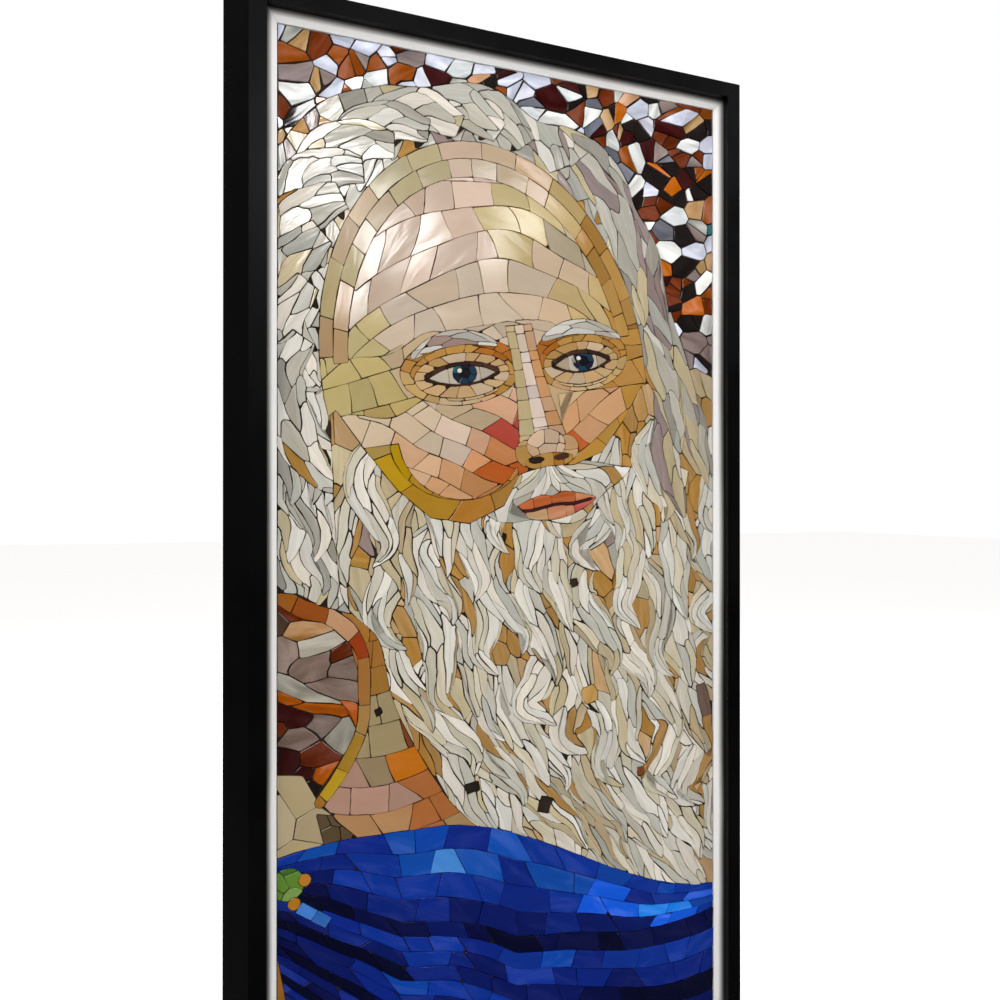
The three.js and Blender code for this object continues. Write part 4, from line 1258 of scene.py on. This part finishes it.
# Painted light: each zone's glass colours are multiplied by a painted warm cast of the room's light, none on
# the ground and robe, darkest on the low ground
ZONE_ROOM_LIGHT_TONES = {"ground": (1, 1, 1), "robe": (1, 1, 1), "low ground": (0.74, 0.66, 0.56),
              "hair": (0.87, 0.82, 0.75), "beard": (0.90, 0.85, 0.77)}
pieces = {}
for n, loop in enumerate(piece_outlines(piece_number)):
    if piece_area[n] == 0 or len(loop) < LEAST_POINTS:
        continue
    zone, glasses, joint = areas[piece_area[n] - 1]
    outline = cut_line(loop, SLACK)
    if len(outline) < 3 or size_of(outline) <= 0:
        continue
    whole = outline
    for less in JOINT_TRIES:
        outline = hand_cut(whole, less * joint / 1000 / SQUARE, cutter_roll[n])
        if not crossed(outline):
            break
    else:
        outline = whole
    if size_of(outline) < (LEAST_LEFT if joint > COARSE_JOINT else LEAST_FINE):
        continue
    colour = glasses(middle_x[n], middle_z[n], cutter_roll[n])
    tone = 1 + TONES * (cutter_roll[n, 3] - 0.5)
    warm = WARMTH * (cutter_roll[n, 7] - 0.5)
    # The tint is each piece's own random tone times its zone's painted cast of the room's light
    tint = [a * b for a, b in zip((tone * (1 + warm), tone, tone * (1 - warm)),
                                  ZONE_ROOM_LIGHT_TONES.get(zone, WARM_ROOM_LIGHT_TONE))]
    pieces.setdefault(zone, []).append((outline, [min(1, c * t) for c, t in zip(colour, tint)],
                                        cutter_roll[n]))

# Setting: every piece, about 5 mm thick, is pressed into the mortar on its own. So it tips a little and
# stands a little high or low, and its snapped top edges are nipped. Each kind of glasswork is one object.
GLASS_FRONT, GLASS_DEPTH = -0.026, 0.0042
NIP, NIP_DEPTH = 0.0004, 0.0003
HEIGHT_SPREAD, TIP = 0.0007, 0.07


def outline_lean(outline):
    """The direction in which a piece is longest."""
    off = outline - outline.mean(0)
    values, ways = np.linalg.eigh(off.T @ off)
    return ways[:, 1]


def set_glass(name, zones):
    """Cuts the pieces of some zones out of glass and sets them in the bed, as one object."""
    cut = [piece for zone in zones for piece in pieces[zone]]
    points, faces, glass, lean, seed = [], [], [], [], []
    for outline, colour, roll in cut:
        flat = outline * SQUARE
        middle = flat.mean(0)
        way = outline_lean(outline)
        faces.append(list(range(len(points), len(points) + len(flat))))
        tips = TIP * (roll[5:7] - 0.5)  # how steeply it rises to the right and upwards
        points += [(x, 0, z) for x, z in flat]
        lean += [(tips[0], HEIGHT_SPREAD * (roll[4] - 0.5) - tips @ middle, tips[1])] * len(flat)
        glass += [(*colour, 1)] * len(flat)
        seed += [(way[0], roll[7], way[1])] * len(flat)
    mesh = bpy.data.meshes.new(name)
    mesh.from_pydata(points, [], faces)
    for label, kind, values, field in (("glass", "FLOAT_COLOR", glass, "color"),
                                       ("grain", "FLOAT_VECTOR", seed, "vector"),
                                       ("lean", "FLOAT_VECTOR", lean, "vector")):
        made = mesh.attributes.new(label, kind, "POINT")
        made.data.foreach_set(field, np.array(values, np.float32).ravel())
    piece = bpy.data.objects.new(name, mesh)
    bpy.context.scene.collection.objects.link(piece)
    deselect_all()
    bpy.context.view_layer.objects.active = piece
    piece.select_set(True)
    bpy.ops.object.mode_set(mode="EDIT")
    bpy.ops.mesh.select_mode(type="FACE")
    bpy.ops.mesh.select_all(action="SELECT")
    bpy.ops.mesh.extrude_region_move(TRANSFORM_OT_translate={"value": (0, -GLASS_DEPTH, 0)})
    bpy.ops.mesh.inset(thickness=NIP, depth=NIP_DEPTH, use_individual=True)
    bpy.ops.object.mode_set(mode="OBJECT")
    at = np.zeros(len(mesh.vertices) * 3)
    mesh.vertices.foreach_get("co", at)
    at = at.reshape(-1, 3)
    lean = np.zeros(len(at) * 3)
    mesh.attributes["lean"].data.foreach_get("vector", lean)
    lean = lean.reshape(-1, 3)
    level = GLASS_FRONT + GLASS_DEPTH + NIP_DEPTH + lean[:, 1]
    at[:, 1] += level + lean[:, 0] * at[:, 0] + lean[:, 2] * at[:, 2]
    mesh.vertices.foreach_set("co", at.ravel())
    mesh.attributes.remove(mesh.attributes["lean"])
    mesh.update()
    return piece


for name, zones, replaced, slot, glass in glasswork:
    laid = set_glass(name, zones)
    laid.data.materials.append(glass)
    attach(laid, "root")
    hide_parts(*replaced)

# Floor and light: a plain pale sheet lies just under the panel in front of a white backdrop. Large soft
# lights stand left, right and behind, and three small lamps give the glare that the flattest pieces catch.
FLOOR_SIZE, FLOOR_HEIGHT = 30, -0.7101
FLOOR_GLOW = 0.62  # seen straight, the floor is as pale as the backdrop behind it
deselect_all()
bpy.ops.mesh.primitive_plane_add(size=FLOOR_SIZE, location=(0, 0, FLOOR_HEIGHT))
floor = bpy.context.object
floor.name = "studio_floor"
paper, nodes, links, skin = new_material("pale_paper", 0.9)
skin.inputs["Base Color"].default_value = (0.88, 0.88, 0.88, 1)
skin.inputs["Emission Color"].default_value = (1, 1, 1, 1)
seen = nodes.new("ShaderNodeLightPath")
unlit = nodes.new("ShaderNodeBsdfDiffuse")
either = nodes.new("ShaderNodeMixShader")
unlit.inputs["Color"].default_value = (0.10, 0.10, 0.10, 1)
glow = maths("MULTIPLY", seen.outputs["Is Camera Ray"], FLOOR_GLOW)
links.new(glow, skin.inputs["Emission Strength"])
links.new(seen.outputs["Is Glossy Ray"], either.inputs[0])
links.new(skin.outputs[0], either.inputs[1])
links.new(unlit.outputs[0], either.inputs[2])
links.new(either.outputs[0], nodes["Material Output"].inputs["Surface"])
floor.data.materials.append(paper)
world = bpy.data.worlds.new("studio")
bpy.context.scene.world = world
world.use_nodes = True
nodes, links = world.node_tree.nodes, world.node_tree.links
room = nodes["Background"]
seen = nodes.new("ShaderNodeLightPath")


def lit_for(ray, strength, others):
    """A white surround of one strength for one kind of ray, and what there is for the others."""
    white, either = nodes.new("ShaderNodeBackground"), nodes.new("ShaderNodeMixShader")
    white.inputs["Color"].default_value = (1, 1, 1, 1)
    white.inputs["Strength"].default_value = strength
    links.new(seen.outputs[ray], either.inputs[0])
    links.new(others, either.inputs[1])
    links.new(white.outputs[0], either.inputs[2])
    return either.outputs[0]


room.inputs["Color"].default_value = (1.0, 0.97, 0.93, 1)
room.inputs["Strength"].default_value = 0.42
links.new(lit_for("Is Camera Ray", 1.0, lit_for("Is Glossy Ray", 0.09, room.outputs[0])),
          nodes["World Output"].inputs["Surface"])
bpy.context.scene.view_settings.view_transform = "Standard"


def soft_light(name, place, aim, size, power):
    lamp = bpy.data.lights.new(name, "AREA")
    lamp.shape = "RECTANGLE"
    lamp.size, lamp.size_y = size
    lamp.energy = power
    held = bpy.data.objects.new(name, lamp)
    bpy.context.scene.collection.objects.link(held)
    held.location = place
    held.rotation_euler = (Vector(aim) - Vector(place)).to_track_quat("-Z", "Y").to_euler()


soft_light("left_light", (-1.5, -1.7, 1.7), (0, 0, 0.3), (1.2, 1.2), 30)
soft_light("right_light", (2.9, -1.3, 2.1), (0, 0, 0.1), (1.4, 1.4), 30)
soft_light("back_light", (0.6, 2.6, 1.8), (0, 0, 0), (2.0, 2.0), 60)
LAMPS = [((0.165, -2.0, 1.075), 3.6), ((0.70, -2.0, 1.2), 2.2), ((-0.056, -2.0, 1.39), 3.6)]
for number, (place, power) in enumerate(LAMPS):
    soft_light("lamp_" + str(number + 1), place, (-0.1, 0, 0.4), (0.22, 0.22), power)

# The camera stands low and to the left of the panel, about a metre away, and looks past it to the right.
# Its lens is wide, as in the photograph.
CAMERA_PLACE, CAMERA_YAW, CAMERA_PITCH = (-0.3406, -0.9427, 0.0873), 19.10, 0.143
LENS, SENSOR = 27, 36  # in mm
lens = bpy.data.cameras.new("camera")
lens.lens = LENS
lens.sensor_width = SENSOR
lens.clip_start = 0.02
camera = bpy.data.objects.new("camera", lens)
camera.location = CAMERA_PLACE
camera.rotation_euler = (math.radians(90 + CAMERA_PITCH), 0, math.radians(-CAMERA_YAW))
bpy.context.scene.collection.objects.link(camera)
bpy.context.scene.camera = camera
